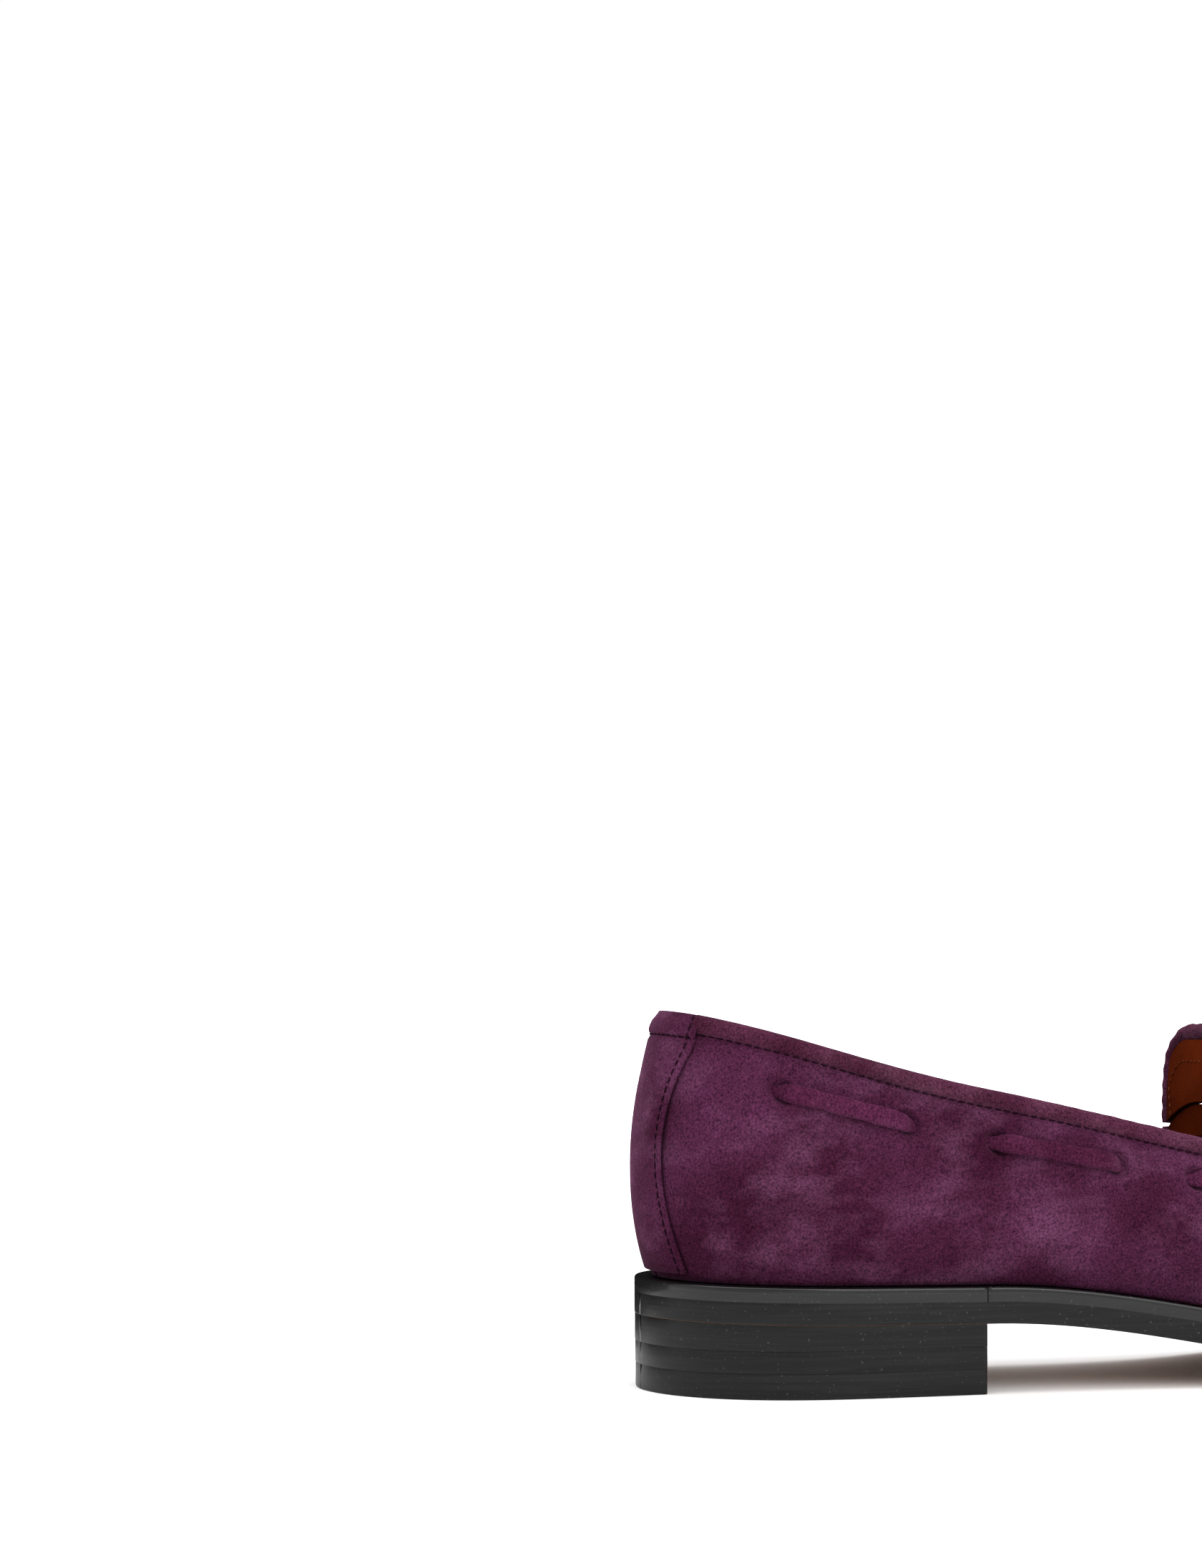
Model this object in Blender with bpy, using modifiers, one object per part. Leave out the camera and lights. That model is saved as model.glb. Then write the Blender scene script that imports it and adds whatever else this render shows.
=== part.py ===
"""A loafer for the right foot, built piece by piece as a shoemaker would.

The toe points along +X, the outer (lateral) side of the foot is -Y, the inner (medial) side is +Y
and +Z is up.  All working sizes are in millimetres and become metres where a mesh is made.  The
origin is under the middle of the shoe's outline, on the floor.

Everything follows one form: a closed row of stations runs round the shoe from the middle of the
back, along the outer side, round the toe and back along the inner side.  Each station has a point
of the sole's outline and a point of the upper edge, which is the topline behind the throat and the
apron seam in front of it.  A wall curve joins the two, and each layer of leather lies at its own
depth below that wall.
"""

import math

import bmesh
import bpy
import numpy as np

MM = 0.001

# Overall sizes, in millimetres
SHOE_LENGTH = 300.0
BALL_WIDTH = 103.0
HEEL_LENGTH = 74.0
BACK_HEIGHT = 62.0
TOE_SPRING = 8.5

# Clearances
GAP = 0.3
SEAM_GAP = 0.6

# Bottom layers
TOP_LIFT = 5.7
HEEL_LIFT = 4.8
HEEL_PITCH = 1.2
HEEL_TAPER = 0.5
BREAST_HOLLOW = 2.5
OUTSOLE = 5.0
WELT = 3.2
WELT_WIDTH = 13.0
INSOLE = 2.5
SOCK = 1.0
SHANK_WIDTH = 14.0
SHANK_THICKNESS = 1.2
SHANK_START = 30.0
NAIL_RADIUS = 1.0
NAIL_HEAD_RADIUS = 1.8
NAIL_HEAD = 1.0
NAIL_LENGTH = 9.5
NAIL_INSET = 13.0

# Leather
UPPER = 1.5
LINING = 1.0
STIFFENER = 1.2
LASTING_MARGIN = 8.0
STRAP = 1.6
STRAP_WIDTH = 30.0
BACKSTAY = 1.2
STRIP_LIFT = 0.45
BACKSTAY_WIDTH = 30.0
BINDING = 0.8
BINDING_DEPTH = 3.8
APRON_INSET = 1.6
SLOT_LENGTH = 26.0
SLOT_HEIGHT = 6.0

# Lace
LACE_WIDTH = 5.0
LACE_THICKNESS = 1.2
LACE_BELOW_TOPLINE = 13.0
LACE_TURN = 3.0
LACE_LIFT = 0.45
LACE_PASSES = ((29.0, 58.5), (80.0, 110.5), (130.0, 141.5))
LACE_END = 147.5

# Tongue
TONGUE = 1.5
TONGUE_HALF_WIDTH = 21.5
TONGUE_HEIGHT = 20.0
TONGUE_LEAN = 5.0
TONGUE_CORNER = 7.0
THROAT_X = 143.0

# The levels of the bottom layers above the underside of the outsole
HEEL_STACK = TOP_LIFT + 2 * HEEL_LIFT + 3 * GAP
WELT_BASE = OUTSOLE + GAP
WELT_TOP = WELT_BASE + WELT
FEATHER = WELT_TOP + GAP
INSOLE_BASE = FEATHER + UPPER + GAP
INSOLE_TOP = INSOLE_BASE + INSOLE
SOCK_BASE = INSOLE_TOP + GAP

# The depths of the upper's layers below the outer face of the wall
STIFFENER_DEPTH = UPPER + GAP
LINING_DEPTH = STIFFENER_DEPTH + STIFFENER + GAP
WALL = LINING_DEPTH + LINING
EDGE_LINING_DEPTH = UPPER + GAP

# The size that the station tables below were drawn at
DRAWN_LENGTH = 300.0
DRAWN_WIDTH = 103.0
DRAWN_BACK = 62.0

# One row for each station of the outer side, back to toe: the outline's x and y, how far the
# upper stands in from it, the upper edge's x, y and height above the welt, and the wall curve's
# two handles, each as far out and far up (from the welt) or down (from the upper edge).
LATERAL = (
    (0.0, 0.0, 4.3, 6.8, 0.0, 62.0, 6.3, 16.0, 7.2, 20.0),
    (6.5, -19.0, 4.2, 10.8, -13.5, 61.2, 5.6, 16.0, 6.4, 19.0),
    (22.0, -30.2, 4.0, 24.0, -22.8, 58.0, 5.2, 16.0, 5.8, 17.0),
    (50.0, -33.8, 3.6, 50.0, -27.2, 51.0, 4.6, 15.0, 5.0, 15.0),
    (78.0, -33.4, 3.4, 79.0, -28.2, 44.6, 4.6, 14.0, 5.0, 13.0),
    (108.0, -34.4, 3.6, 110.0, -27.4, 40.8, 5.0, 13.0, 6.0, 12.0),
    (140.0, -39.0, 4.2, 143.0, -25.4, 39.2, 6.0, 13.0, 8.0, 12.0),
    (174.0, -46.2, 5.0, 176.0, -28.6, 38.6, 6.0, 14.0, 11.0, 9.5),
    (208.0, -50.4, 5.4, 209.0, -31.0, 34.6, 5.0, 14.0, 12.0, 6.5),
    (246.0, -46.0, 5.4, 238.0, -27.0, 29.2, 3.6, 12.0, 12.0, 4.0),
    (284.0, -29.0, 5.4, 260.5, -15.5, 25.4, 2.6, 11.0, 12.5, 3.0),
)
TOE = (300.0, 1.5, 5.6, 267.0, 1.5, 23.6, 2.0, 10.0, 14.0, 2.4)
MEDIAL = (
    (285.0, 29.6, 5.4, 261.0, 17.5, 25.2, 2.6, 11.0, 12.5, 3.0),
    (248.0, 48.8, 5.4, 239.0, 28.8, 29.2, 3.6, 12.0, 12.0, 4.0),
    (207.0, 52.6, 5.2, 209.0, 31.6, 34.8, 5.0, 14.0, 12.0, 6.5),
    (172.0, 43.0, 4.4, 176.0, 28.6, 39.0, 6.5, 15.0, 11.0, 9.5),
    (140.0, 30.4, 3.4, 143.0, 25.0, 40.0, 8.0, 16.0, 8.0, 13.0),
    (108.0, 26.4, 3.0, 110.0, 26.8, 41.4, 8.5, 16.0, 6.5, 13.0),
    (78.0, 29.0, 3.2, 79.0, 27.2, 45.0, 6.5, 15.0, 5.6, 14.0),
    (50.0, 32.2, 3.6, 50.0, 26.6, 51.2, 5.0, 15.0, 5.2, 15.0),
    (22.0, 29.6, 4.0, 24.0, 22.4, 58.0, 5.2, 16.0, 5.8, 17.0),
    (6.5, 18.8, 4.2, 10.8, 13.4, 61.2, 5.6, 16.0, 6.4, 19.0),
)
STATIONS = len(LATERAL) + 1 + len(MEDIAL)
TOE_STATION = len(LATERAL)

# How finely the form is sampled: steps between two stations, and rows up the wall
STEPS = 3
ABOVE_INSOLE = 6.2
EDGE_EASE = 8.6
EDGE_FLAT = 4.6
BODY_ROWS = 5
CURVE_POINTS = 33
BALL_X = 0.68 * SHOE_LENGTH


# ---------------------------------------------------------------- the form


def sized(row):
    """A station row at the chosen length, width and back height."""
    long, wide, high = (
        SHOE_LENGTH / DRAWN_LENGTH,
        BALL_WIDTH / DRAWN_WIDTH,
        BACK_HEIGHT / DRAWN_BACK,
    )
    x, y, inset, top_x, top_y, rise, out_1, up_1, out_2, down_2 = row
    return (
        x * long,
        y * wide,
        inset,
        top_x * long,
        top_y * wide,
        rise * high,
        out_1 * wide,
        up_1 * high,
        out_2 * wide,
        down_2 * high,
    )


ROWS_ROUND = np.array([sized(row) for row in (*LATERAL, TOE, *MEDIAL)])


def loop_knots(rows):
    """The distance run along the outline at each station, closing at the first."""
    steps = np.roll(rows[:, :2], -1, axis=0) - rows[:, :2]
    return np.concatenate([[0.0], np.cumsum(np.hypot(steps[:, 0], steps[:, 1]))])


def bend_of_loop(knots, rows):
    """Second derivatives of the smooth closed curve through the rows."""
    count = len(rows)
    system = np.zeros((count, count))
    load = np.zeros_like(rows)
    for i in range(count):
        before, after = knots[i] - knots[i - 1], knots[i + 1] - knots[i]
        if i == 0:
            before = knots[-1] - knots[-2]
        system[i, i - 1] += before / 6
        system[i, i] += (before + after) / 3
        system[i, (i + 1) % count] += after / 6
        load[i] = (rows[(i + 1) % count] - rows[i]) / after
        load[i] -= (rows[i] - rows[i - 1]) / before
    return np.linalg.solve(system, load)


KNOTS = loop_knots(ROWS_ROUND)
BEND = bend_of_loop(KNOTS, ROWS_ROUND)


def station_row(index):
    """All ten values of the form at a station number, which may be a fraction."""
    index = index % STATIONS
    first = int(index)
    second = (first + 1) % STATIONS
    span = KNOTS[first + 1] - KNOTS[first]
    b = index - first
    a = 1 - b
    return (
        a * ROWS_ROUND[first]
        + b * ROWS_ROUND[second]
        + ((a**3 - a) * BEND[first] + (b**3 - b) * BEND[second]) * span**2 / 6
    )


def underside(x):
    """Height of the outsole's underside: on the heel, down the waist, and up the toe spring."""
    if x <= HEEL_LENGTH:
        return HEEL_STACK + HEEL_PITCH * (1 - x / HEEL_LENGTH)
    if x <= BALL_X:
        u = (x - HEEL_LENGTH) / (BALL_X - HEEL_LENGTH)
        return HEEL_STACK * (1 - u * u * (3 - 2 * u))
    return TOE_SPRING * ((x - BALL_X) / (SHOE_LENGTH - BALL_X)) ** 2


def outward(index):
    """Unit vector in plan that points out of the outline at a station number."""
    step = station_row(index + 0.02)[:2] - station_row(index - 0.02)[:2]
    return np.array([step[1], -step[0]]) / np.hypot(*step)


def outline(index, inset, level):
    """A point of the outline, moved in by inset, at a level above the outsole's underside."""
    x, y = station_row(index)[:2] - outward(index) * inset
    return np.array([x, y, underside(x) + level])


def feather(index, more=0.0, level=FEATHER):
    """A point of the line where the upper meets the welt, moved in by more."""
    return outline(index, station_row(index)[2] + more, level)


def wall_curve(index):
    """The wall's outer face at a station number, as evenly spaced points from welt to edge."""
    row = station_row(index)
    out = np.append(outward(index), 0.0)
    start = feather(index)
    end = np.array([row[3], row[4], underside(row[3]) + WELT_TOP + row[5]])
    first = start + out * row[6] + np.array([0, 0, row[7]])
    second = end + out * row[8] - np.array([0, 0, row[9]])
    u = np.linspace(0, 1, CURVE_POINTS)[:, None]
    points = (
        (1 - u) ** 3 * start
        + 3 * u * (1 - u) ** 2 * first
        + 3 * u * u * (1 - u) * second
        + u**3 * end
    )
    run = np.append(0, np.cumsum(np.linalg.norm(np.diff(points, axis=0), axis=1)))
    even = np.linspace(0, run[-1], CURVE_POINTS)
    return np.stack([np.interp(even, run, points[:, k]) for k in range(3)], 1), run[-1]


CURVES = {}


def curve_at(index):
    key = round((index % STATIONS) * 1000)
    if key not in CURVES:
        CURVES[key] = wall_curve(key / 1000)
    return CURVES[key]


def wall_length(index):
    return curve_at(index)[1]


def on_wall(index, v):
    """A point of the wall's outer face: v is 0 at the welt and 1 at the upper edge."""
    points, _ = curve_at(index)
    place = v * (CURVE_POINTS - 1)
    first = min(max(int(place), 0), CURVE_POINTS - 2)
    return points[first] + (points[first + 1] - points[first]) * (place - first)


def wall(index, v, depth=0.0):
    """A point at a depth below the wall's outer face."""
    around = on_wall(index + 0.05, v) - on_wall(index - 0.05, v)
    up = on_wall(index, min(v + 0.04, 1.0)) - on_wall(index, max(v - 0.04, 0.0))
    normal = np.cross(around, up)
    return on_wall(index, v) - normal / np.linalg.norm(normal) * depth


def station_at(x, side):
    """The station number whose upper edge is at x, on the lateral (-1) or medial (+1) side."""
    low, high = 0.0, float(TOE_STATION)
    for _ in range(40):
        middle = (low + high) / 2
        here = station_row(middle if side < 0 else STATIONS - middle)[3]
        low, high = (middle, high) if here < x else (low, middle)
    return low if side < 0 else STATIONS - low


def pair(q):
    """The lateral and medial station numbers that face each other."""
    return q, STATIONS - q


def crown(q):
    """How far the apron stands above the line between its two seams."""
    return 10.5 * min(1.0, max(0.0, (TOE_STATION - q) / 5.0)) ** 0.8


def apron_point(q, w, rise=0.0):
    """A point of the apron's outer face: w is -1 at the lateral seam and 1 at the medial one."""
    lateral, medial = (on_wall(i, 1.0) for i in pair(q))
    base = lateral + (medial - lateral) * (w + 1) / 2
    return base + np.array([0, 0, crown(q) * (1 - w * w) + rise])


def stations(start, end):
    """Station numbers from start to end, on the grid that all layers share."""
    inner = [k / STEPS for k in range(math.ceil(start * STEPS), int(end * STEPS) + 1)]
    inner = [k for k in inner if start + 0.1 < k < end - 0.1]
    return [start, *inner, end]


def heights(index):
    """Wall heights that every layer shares: foot, insole, an even run, then the edge's two."""
    length = wall_length(index)
    foot, shoulder = ABOVE_INSOLE / length, 1 - EDGE_EASE / length
    run = [foot + (shoulder - foot) * k / (BODY_ROWS - 1) for k in range(BODY_ROWS)]
    return [0.0, *run, 1 - EDGE_FLAT / length, 1.0]


OUTLINE = np.array([outline(k / STEPS, 0, 0) for k in range(STATIONS * STEPS)])
MIDDLE = (OUTLINE.min(axis=0) + OUTLINE.max(axis=0)) / 2
ORIGIN = np.array([MIDDLE[0], MIDDLE[1], 0.0])


# ---------------------------------------------------------------- making meshes


def fresh_collection(name):
    collection = bpy.data.collections.new(name)
    bpy.context.scene.collection.children.link(collection)
    return collection


for old in list(bpy.data.objects):
    bpy.data.objects.remove(old)
SHOE = fresh_collection("loafer")
CUTTERS = fresh_collection("cutters")


def finish(name, color, roughness, metallic=0.0):
    material = bpy.data.materials.new(name)
    material.use_nodes = True
    shader = material.node_tree.nodes["Principled BSDF"]
    shader.inputs["Base Color"].default_value = (*color, 1.0)
    shader.inputs["Roughness"].default_value = roughness
    shader.inputs["Metallic"].default_value = metallic
    return material


PURPLE_SUEDE = finish("purple_suede", (0.085, 0.022, 0.07), 0.95)
TAN_LEATHER = finish("tan_leather", (0.30, 0.11, 0.035), 0.5)
BLACK_EDGE = finish("black_sole_leather", (0.012, 0.012, 0.013), 0.35)
BLACK_RUBBER = finish("black_rubber", (0.02, 0.02, 0.021), 0.6)
BRASS = finish("brass", (0.6, 0.42, 0.16), 0.3, 1.0)
STEEL = finish("steel", (0.45, 0.45, 0.47), 0.35, 1.0)
CORK = finish("cork", (0.38, 0.24, 0.12), 0.9)
FIBRE = finish("fibre_board", (0.45, 0.33, 0.2), 0.85)


def place(points):
    """Form millimetres to scene metres."""
    return [tuple((np.asarray(p) - ORIGIN) * MM) for p in points]


def new_object(name, points, faces, material, collection=SHOE):
    mesh = bpy.data.meshes.new(name)
    mesh.from_pydata(place(points), [], faces)
    mesh.validate()
    made = bpy.data.objects.new(name, mesh)
    collection.objects.link(made)
    if material:
        mesh.materials.append(material)
    return made


def grid_faces(rows, columns, closed=False):
    """Faces of a grid of points, row by row.  closed joins the last row to the first."""
    faces = []
    for i in range(rows if closed else rows - 1):
        here, there = i * columns, ((i + 1) % rows) * columns
        for j in range(columns - 1):
            faces.append((here + j, there + j, there + j + 1, here + j + 1))
    return faces


def sheet(name, grid, thickness, material, closed=False):
    """A leather sheet: an open surface of points, thickened away from its outer face."""
    rows, columns = len(grid), len(grid[0])
    points = [p for row in grid for p in row]
    made = new_object(name, points, grid_faces(rows, columns, closed), material)
    made.data.shade_smooth()
    thick = made.modifiers.new("thickness", "SOLIDIFY")
    thick.thickness = thickness * MM
    thick.offset = -1
    thick.use_even_offset = True
    return made


def sweep(name, sections, material, closed=False, collection=SHOE):
    """A solid through closed sections of equal length, each a ring of points."""
    count = len(sections[0])
    points = [p for section in sections for p in section]
    faces = []
    rings = len(sections)
    for i in range(rings if closed else rings - 1):
        here, there = i * count, ((i + 1) % rings) * count
        for j in range(count):
            k = (j + 1) % count
            faces.append((here + j, here + k, there + k, there + j))
    if not closed:
        faces.append(tuple(range(count))[::-1])
        faces.append(tuple(range((rings - 1) * count, rings * count)))
    made = new_object(name, points, faces, material, collection)
    face_outward(made.data)
    return made


def face_outward(mesh):
    shape = bmesh.new()
    shape.from_mesh(mesh)
    bmesh.ops.recalc_face_normals(shape, faces=shape.faces)
    shape.to_mesh(mesh)
    shape.free()


def slab(name, index_pairs, inset, bottom, top, material, collection=SHOE):
    """A bottom layer: cross strips between facing points of the outline.

    inset is one number, or a function of the station number.  bottom and top are levels above
    the outsole's underside, or functions that give a height for a point.
    """
    inset_of = inset if callable(inset) else lambda index: inset
    sections = []
    for lateral, medial in index_pairs:
        ends = [outline(i, inset_of(i), 0) for i in (lateral, medial)]
        low = [height(p, bottom) for p in ends]
        high = [height(p, top) for p in ends]
        sections.append(
            [
                (ends[0][0], ends[0][1], low[0]),
                (ends[1][0], ends[1][1], low[1]),
                (ends[1][0], ends[1][1], high[1]),
                (ends[0][0], ends[0][1], high[0]),
            ]
        )
    return sweep(name, sections, material, collection=collection)


def height(point, level):
    return level(point) if callable(level) else underside(point[0]) + level


def cut(target, cutter, solver="EXACT"):
    boolean = target.modifiers.new(cutter.name, "BOOLEAN")
    boolean.operation = "DIFFERENCE"
    boolean.object = cutter
    boolean.solver = solver
    cutter.hide_render = True
    cutter.display_type = "WIRE"


def facing_pairs(start, end):
    return [pair(q) for q in stations(start, end)]


# ---------------------------------------------------------------- the bottom


END_STATION = 0.12


def outsole():
    pairs = facing_pairs(END_STATION, TOE_STATION - END_STATION)
    return slab("outsole", pairs, 0.0, 0.0, OUTSOLE, BLACK_EDGE)


def edge_strip(name, start, end):
    """A strip of leather on the outsole's rim, between two station numbers."""
    sections = []
    for index in stations(start, end):
        sections.append(
            [
                outline(index, 0, WELT_BASE),
                outline(index, WELT_WIDTH, WELT_BASE),
                outline(index, WELT_WIDTH, WELT_TOP),
                outline(index, 0, WELT_TOP),
            ]
        )
    return sweep(name, sections, BLACK_EDGE)


def heel_layer(name, bottom, top, inset, material):
    """One layer of the heel, with the hollow front that the breast cutter gives it."""
    pairs = facing_pairs(END_STATION, BREAST_STATION + 0.3)
    layer = slab(name, pairs, inset, bottom, top, material)
    cut(layer, BREAST_CUTTER)
    return layer


def breast_cutter():
    """An upright drum whose back face hollows the front of the heel."""
    radius = (HEEL_HALF_WIDTH**2 + BREAST_HOLLOW**2) / (2 * BREAST_HOLLOW)
    bpy.ops.mesh.primitive_cylinder_add(
        vertices=256,
        radius=radius * MM,
        depth=60 * MM,
        location=place([(HEEL_LENGTH - BREAST_HOLLOW + radius, 0, 10)])[0],
    )
    drum = bpy.context.active_object
    drum.name = "breast_cutter"
    for owner in list(drum.users_collection):
        owner.objects.unlink(drum)
    CUTTERS.objects.link(drum)
    return drum


def turned(name, x, y, profile, material, collection=SHOE):
    """A round piece: a profile of (radius, z) spun about an upright axis at x, y."""
    edges = [(k, k + 1) for k in range(len(profile) - 1)]
    mesh = bpy.data.meshes.new(name)
    mesh.from_pydata([(r * MM, 0, z * MM) for r, z in reversed(profile)], edges, [])
    made = bpy.data.objects.new(name, mesh)
    made.location = place([(x, y, 0)])[0]
    collection.objects.link(made)
    if material:
        mesh.materials.append(material)
    screw = made.modifiers.new("turn", "SCREW")
    screw.steps = screw.render_steps = 16
    screw.use_merge_vertices = True
    screw.merge_threshold = 0.00001
    return made


def nail_spots():
    """Plan positions of the heel nails: a horseshoe inside the top lift's rim."""
    spots = []
    for index in (STATIONS - 3.05, STATIONS - 1.75, STATIONS, STATIONS + 1.75, STATIONS + 3.05):
        x, y = outline(index, NAIL_INSET, 0)[:2]
        spots.append((x, y))
    return spots


def heel_nails():
    """Brass nails through the top lift into the lift above, with holes to clear them."""
    nails = []
    for number, (x, y) in enumerate(nail_spots(), 1):
        r, head, neck, tip = NAIL_RADIUS, NAIL_HEAD_RADIUS, NAIL_HEAD, NAIL_LENGTH
        profile = [(0, 0.2), (head, 0.2), (head, neck), (r, neck), (r, tip - 1), (0, tip)]
        nails.append(turned(f"heel_nail_{number}", x, y, profile, BRASS))
        wide, room = head + GAP, r + GAP
        hole = [(0, -1), (wide, -1), (wide, neck + GAP), (room, neck + GAP)]
        hole += [(room, tip + GAP), (0, tip + GAP)]
        cutter = turned(f"nail_hole_{number}", x, y, hole, None, CUTTERS)
        cut(TOP_LIFT_PIECE, cutter)
        cut(LOWER_LIFT_PIECE, cutter)
    return nails


def insole():
    pairs = facing_pairs(END_STATION, TOE_STATION - END_STATION)
    return slab("insole", pairs, lambda i: station_row(i)[2] + 3.2, INSOLE_BASE, INSOLE_TOP, FIBRE)


def sock_liner():
    pairs = facing_pairs(0.16, TOE_STATION - 0.16)
    top = SOCK_BASE + SOCK
    return slab("sock_liner", pairs, lambda i: station_row(i)[2] + sock_inset(i), SOCK_BASE, top, TAN_LEATHER)


def sock_inset(index):
    """The sock liner keeps further in at the toe, where the walls lean over it."""
    return 4.2 + 2.4 * max(0.0, (station_row(index)[0] / SHOE_LENGTH - 0.62) / 0.38)


def waist_top(point):
    """The filler's top: under the shank at the back, and up to the insole in the forepart."""
    rise = SHANK_THICKNESS + GAP
    u = min(1.0, max(0.0, (point[0] - SHANK_END - 2) / 4))
    return underside(point[0]) + INSOLE_BASE - GAP - rise * (1 - u)


def cork_filler():
    """Ground cork that fills the hollow inside the welt, with the shank bedded on it."""
    sections = []
    for x in [*np.arange(20, SHANK_END - 1, 12), SHANK_END + 2, SHANK_END + 6,
              *np.arange(SHANK_END + 16, SHOE_LENGTH - 22, 10)]:
        inset = WELT_WIDTH + 1.6
        ends = [outline(edge_station(x, side, inset), inset, 0) for side in (-1, 1)]
        low = underside(x) + WELT_BASE
        high = waist_top(ends[0])
        sections.append(
            [
                (x, ends[0][1], low),
                (x, ends[1][1], low),
                (x, ends[1][1], high),
                (x, ends[0][1], high),
            ]
        )
    return sweep("cork_filler", sections, CORK)


def edge_station(x, side, inset=0.0):
    """The station number whose outline, moved in by inset, is at x on a side (-1 or +1)."""
    low, high = 0.0, float(TOE_STATION)
    for _ in range(40):
        middle = (low + high) / 2
        here = outline(middle if side < 0 else STATIONS - middle, inset, 0)[0]
        low, high = (middle, high) if here < x else (low, middle)
    return low if side < 0 else STATIONS - low


def shank():
    """The spring steel strip that holds the waist up, ribbed by its own curve."""
    sections = []
    for x in np.linspace(SHANK_START, SHANK_END, 14):
        lateral, medial = (outline(edge_station(x, side), 0, 0)[1] for side in (-1, 1))
        middle = (lateral + medial) / 2
        half = SHANK_WIDTH / 2 * min(1.0, 0.55 + 0.15 * min(x - SHANK_START, SHANK_END - x) / 3)
        top = underside(x) + INSOLE_BASE - GAP
        low = top - SHANK_THICKNESS
        sections.append(
            [
                (x, middle - half, low),
                (x, middle + half, low),
                (x, middle + half, top),
                (x, middle - half, top),
            ]
        )
    return sweep("shank", sections, STEEL)


# ---------------------------------------------------------------- the upper


def lining_depth(index, v):
    """The lining lies behind the stiffeners and the lace, and comes out to the edge on top."""
    down = (1 - v) * wall_length(index)
    u = min(1.0, max(0.0, (down - EDGE_FLAT) / (EDGE_EASE - EDGE_FLAT)))
    return EDGE_LINING_DEPTH + (LINING_DEPTH - EDGE_LINING_DEPTH) * u * u * (3 - 2 * u)


def lasted(name, start, end, material):
    """An outer leather: its margin turned in on the welt, and its wall up to the edge."""
    grid = []
    for index in stations(start, end):
        row = [feather(index, LASTING_MARGIN), feather(index, LASTING_MARGIN / 2)]
        row += [wall(index, v) for v in heights(index)]
        grid.append(row)
    return sheet(name, grid, UPPER, material)


def inner_wall(name, start, end, rows, depth, thickness, material):
    """A layer behind the outer leather, over the shared heights that rows names."""
    grid = []
    for index in stations(start, end):
        grid.append([wall(index, v, depth(index, v)) for v in heights(index)[rows]])
    return sheet(name, grid, thickness, material)


def stiffener_depth(index, v):
    return STIFFENER_DEPTH


def edge_point(index, down, depth):
    """A point near the upper edge: down along the wall, or above the edge when negative."""
    if down >= 0:
        return wall(index, 1 - down / wall_length(index), depth)
    step = on_wall(index, 1.0) - on_wall(index, 0.96)
    return wall(index, 1.0, depth) - step / np.linalg.norm(step) * down


def topline_binding(name, start, end):
    """A folded strip over the topline, sewn through the quarter and its lining."""
    inner = EDGE_LINING_DEPTH + LINING + GAP
    outer = inner + BINDING
    depth, over = BINDING_DEPTH, GAP + BINDING
    profile = (
        (depth, -over),
        (0.4, -over),
        (-over * 0.8, -0.4),
        (-over, 1.4),
        (-over * 0.8, outer - 0.7),
        (0.4, outer),
        (depth, outer),
        (depth, inner),
        (-GAP, inner),
        (-GAP, -GAP),
        (depth, -GAP),
    )
    sections = [[edge_point(i, *p) for p in profile] for i in stations(start, end)]
    return sweep(name, sections, PURPLE_SUEDE)


def backstay_half(v):
    """Half width of the back strip in stations: narrowest at the top third."""
    return BACKSTAY_WIDTH / 2 * (1.0 - 0.28 * math.sin(math.pi * min(1.0, v * 1.15) ** 1.3))


def back_strip():
    """The strip over the back seam, folded over the topline and down inside."""
    over = STRIP_LIFT + BACKSTAY
    inner = EDGE_LINING_DEPTH + LINING + STRIP_LIFT + BACKSTAY
    fold = (
        (-over * 0.85, -over * 0.45),
        (-over, (inner - over) / 2),
        (-over * 0.85, inner - 0.8),
        (0.2, inner),
        (2.2, inner),
        (4.2, inner),
    )
    run = [k / STEPS for k in range(1 - STEPS, STEPS)]
    grid = []
    for column in (-1, *run, 1):
        row = []
        for v in (0.05, *heights(0)[1:]):
            row.append(wall(strip_station(column, v), v, -over))
        for down, depth in fold:
            row.append(edge_point(strip_station(column, 1.0), down, depth))
        grid.append(row)
    return sheet("back_strip", grid, BACKSTAY, PURPLE_SUEDE)


def strip_station(column, v):
    """A column of the strip: the shared stations, and at its two edges the half width."""
    if abs(column) < 1:
        return column
    reach = np.linalg.norm(on_wall(1.0, v) - on_wall(0.0, v))
    return column * max(backstay_half(v) / reach, 1 - 0.9 / STEPS)


def offset_grid(grid, distance):
    """Every point of a grid moved out along the grid's own normals."""
    points = np.array(grid)
    along = np.gradient(points, axis=0)
    across = np.gradient(points, axis=1)
    normals = np.cross(along, across)
    normals /= np.linalg.norm(normals, axis=2)[:, :, None]
    return points + normals * distance


def apron_grid(start, end, inset, rise=0.0, columns=9):
    grid = []
    for q in stations(start, end):
        lateral, medial = (on_wall(i, 1.0) for i in pair(q))
        width = np.linalg.norm(medial - lateral)
        edge = 1 - 2 * inset / width
        grid.append([apron_point(q, w, rise) for w in np.linspace(-edge, edge, columns)])
    return grid


def apron():
    """The flat front piece, sewn inside the top edge of the vamp."""
    grid = apron_grid(APRON_START, TOE_STATION - 0.3, APRON_INSET)
    return sheet("apron", grid, UPPER, PURPLE_SUEDE)


def apron_lining():
    grid = offset_grid(apron_grid(APRON_START + 0.02, TOE_STATION - 0.6, 4.4), -(UPPER + GAP))
    return sheet("apron_lining", grid, LINING, TAN_LEATHER)


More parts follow.
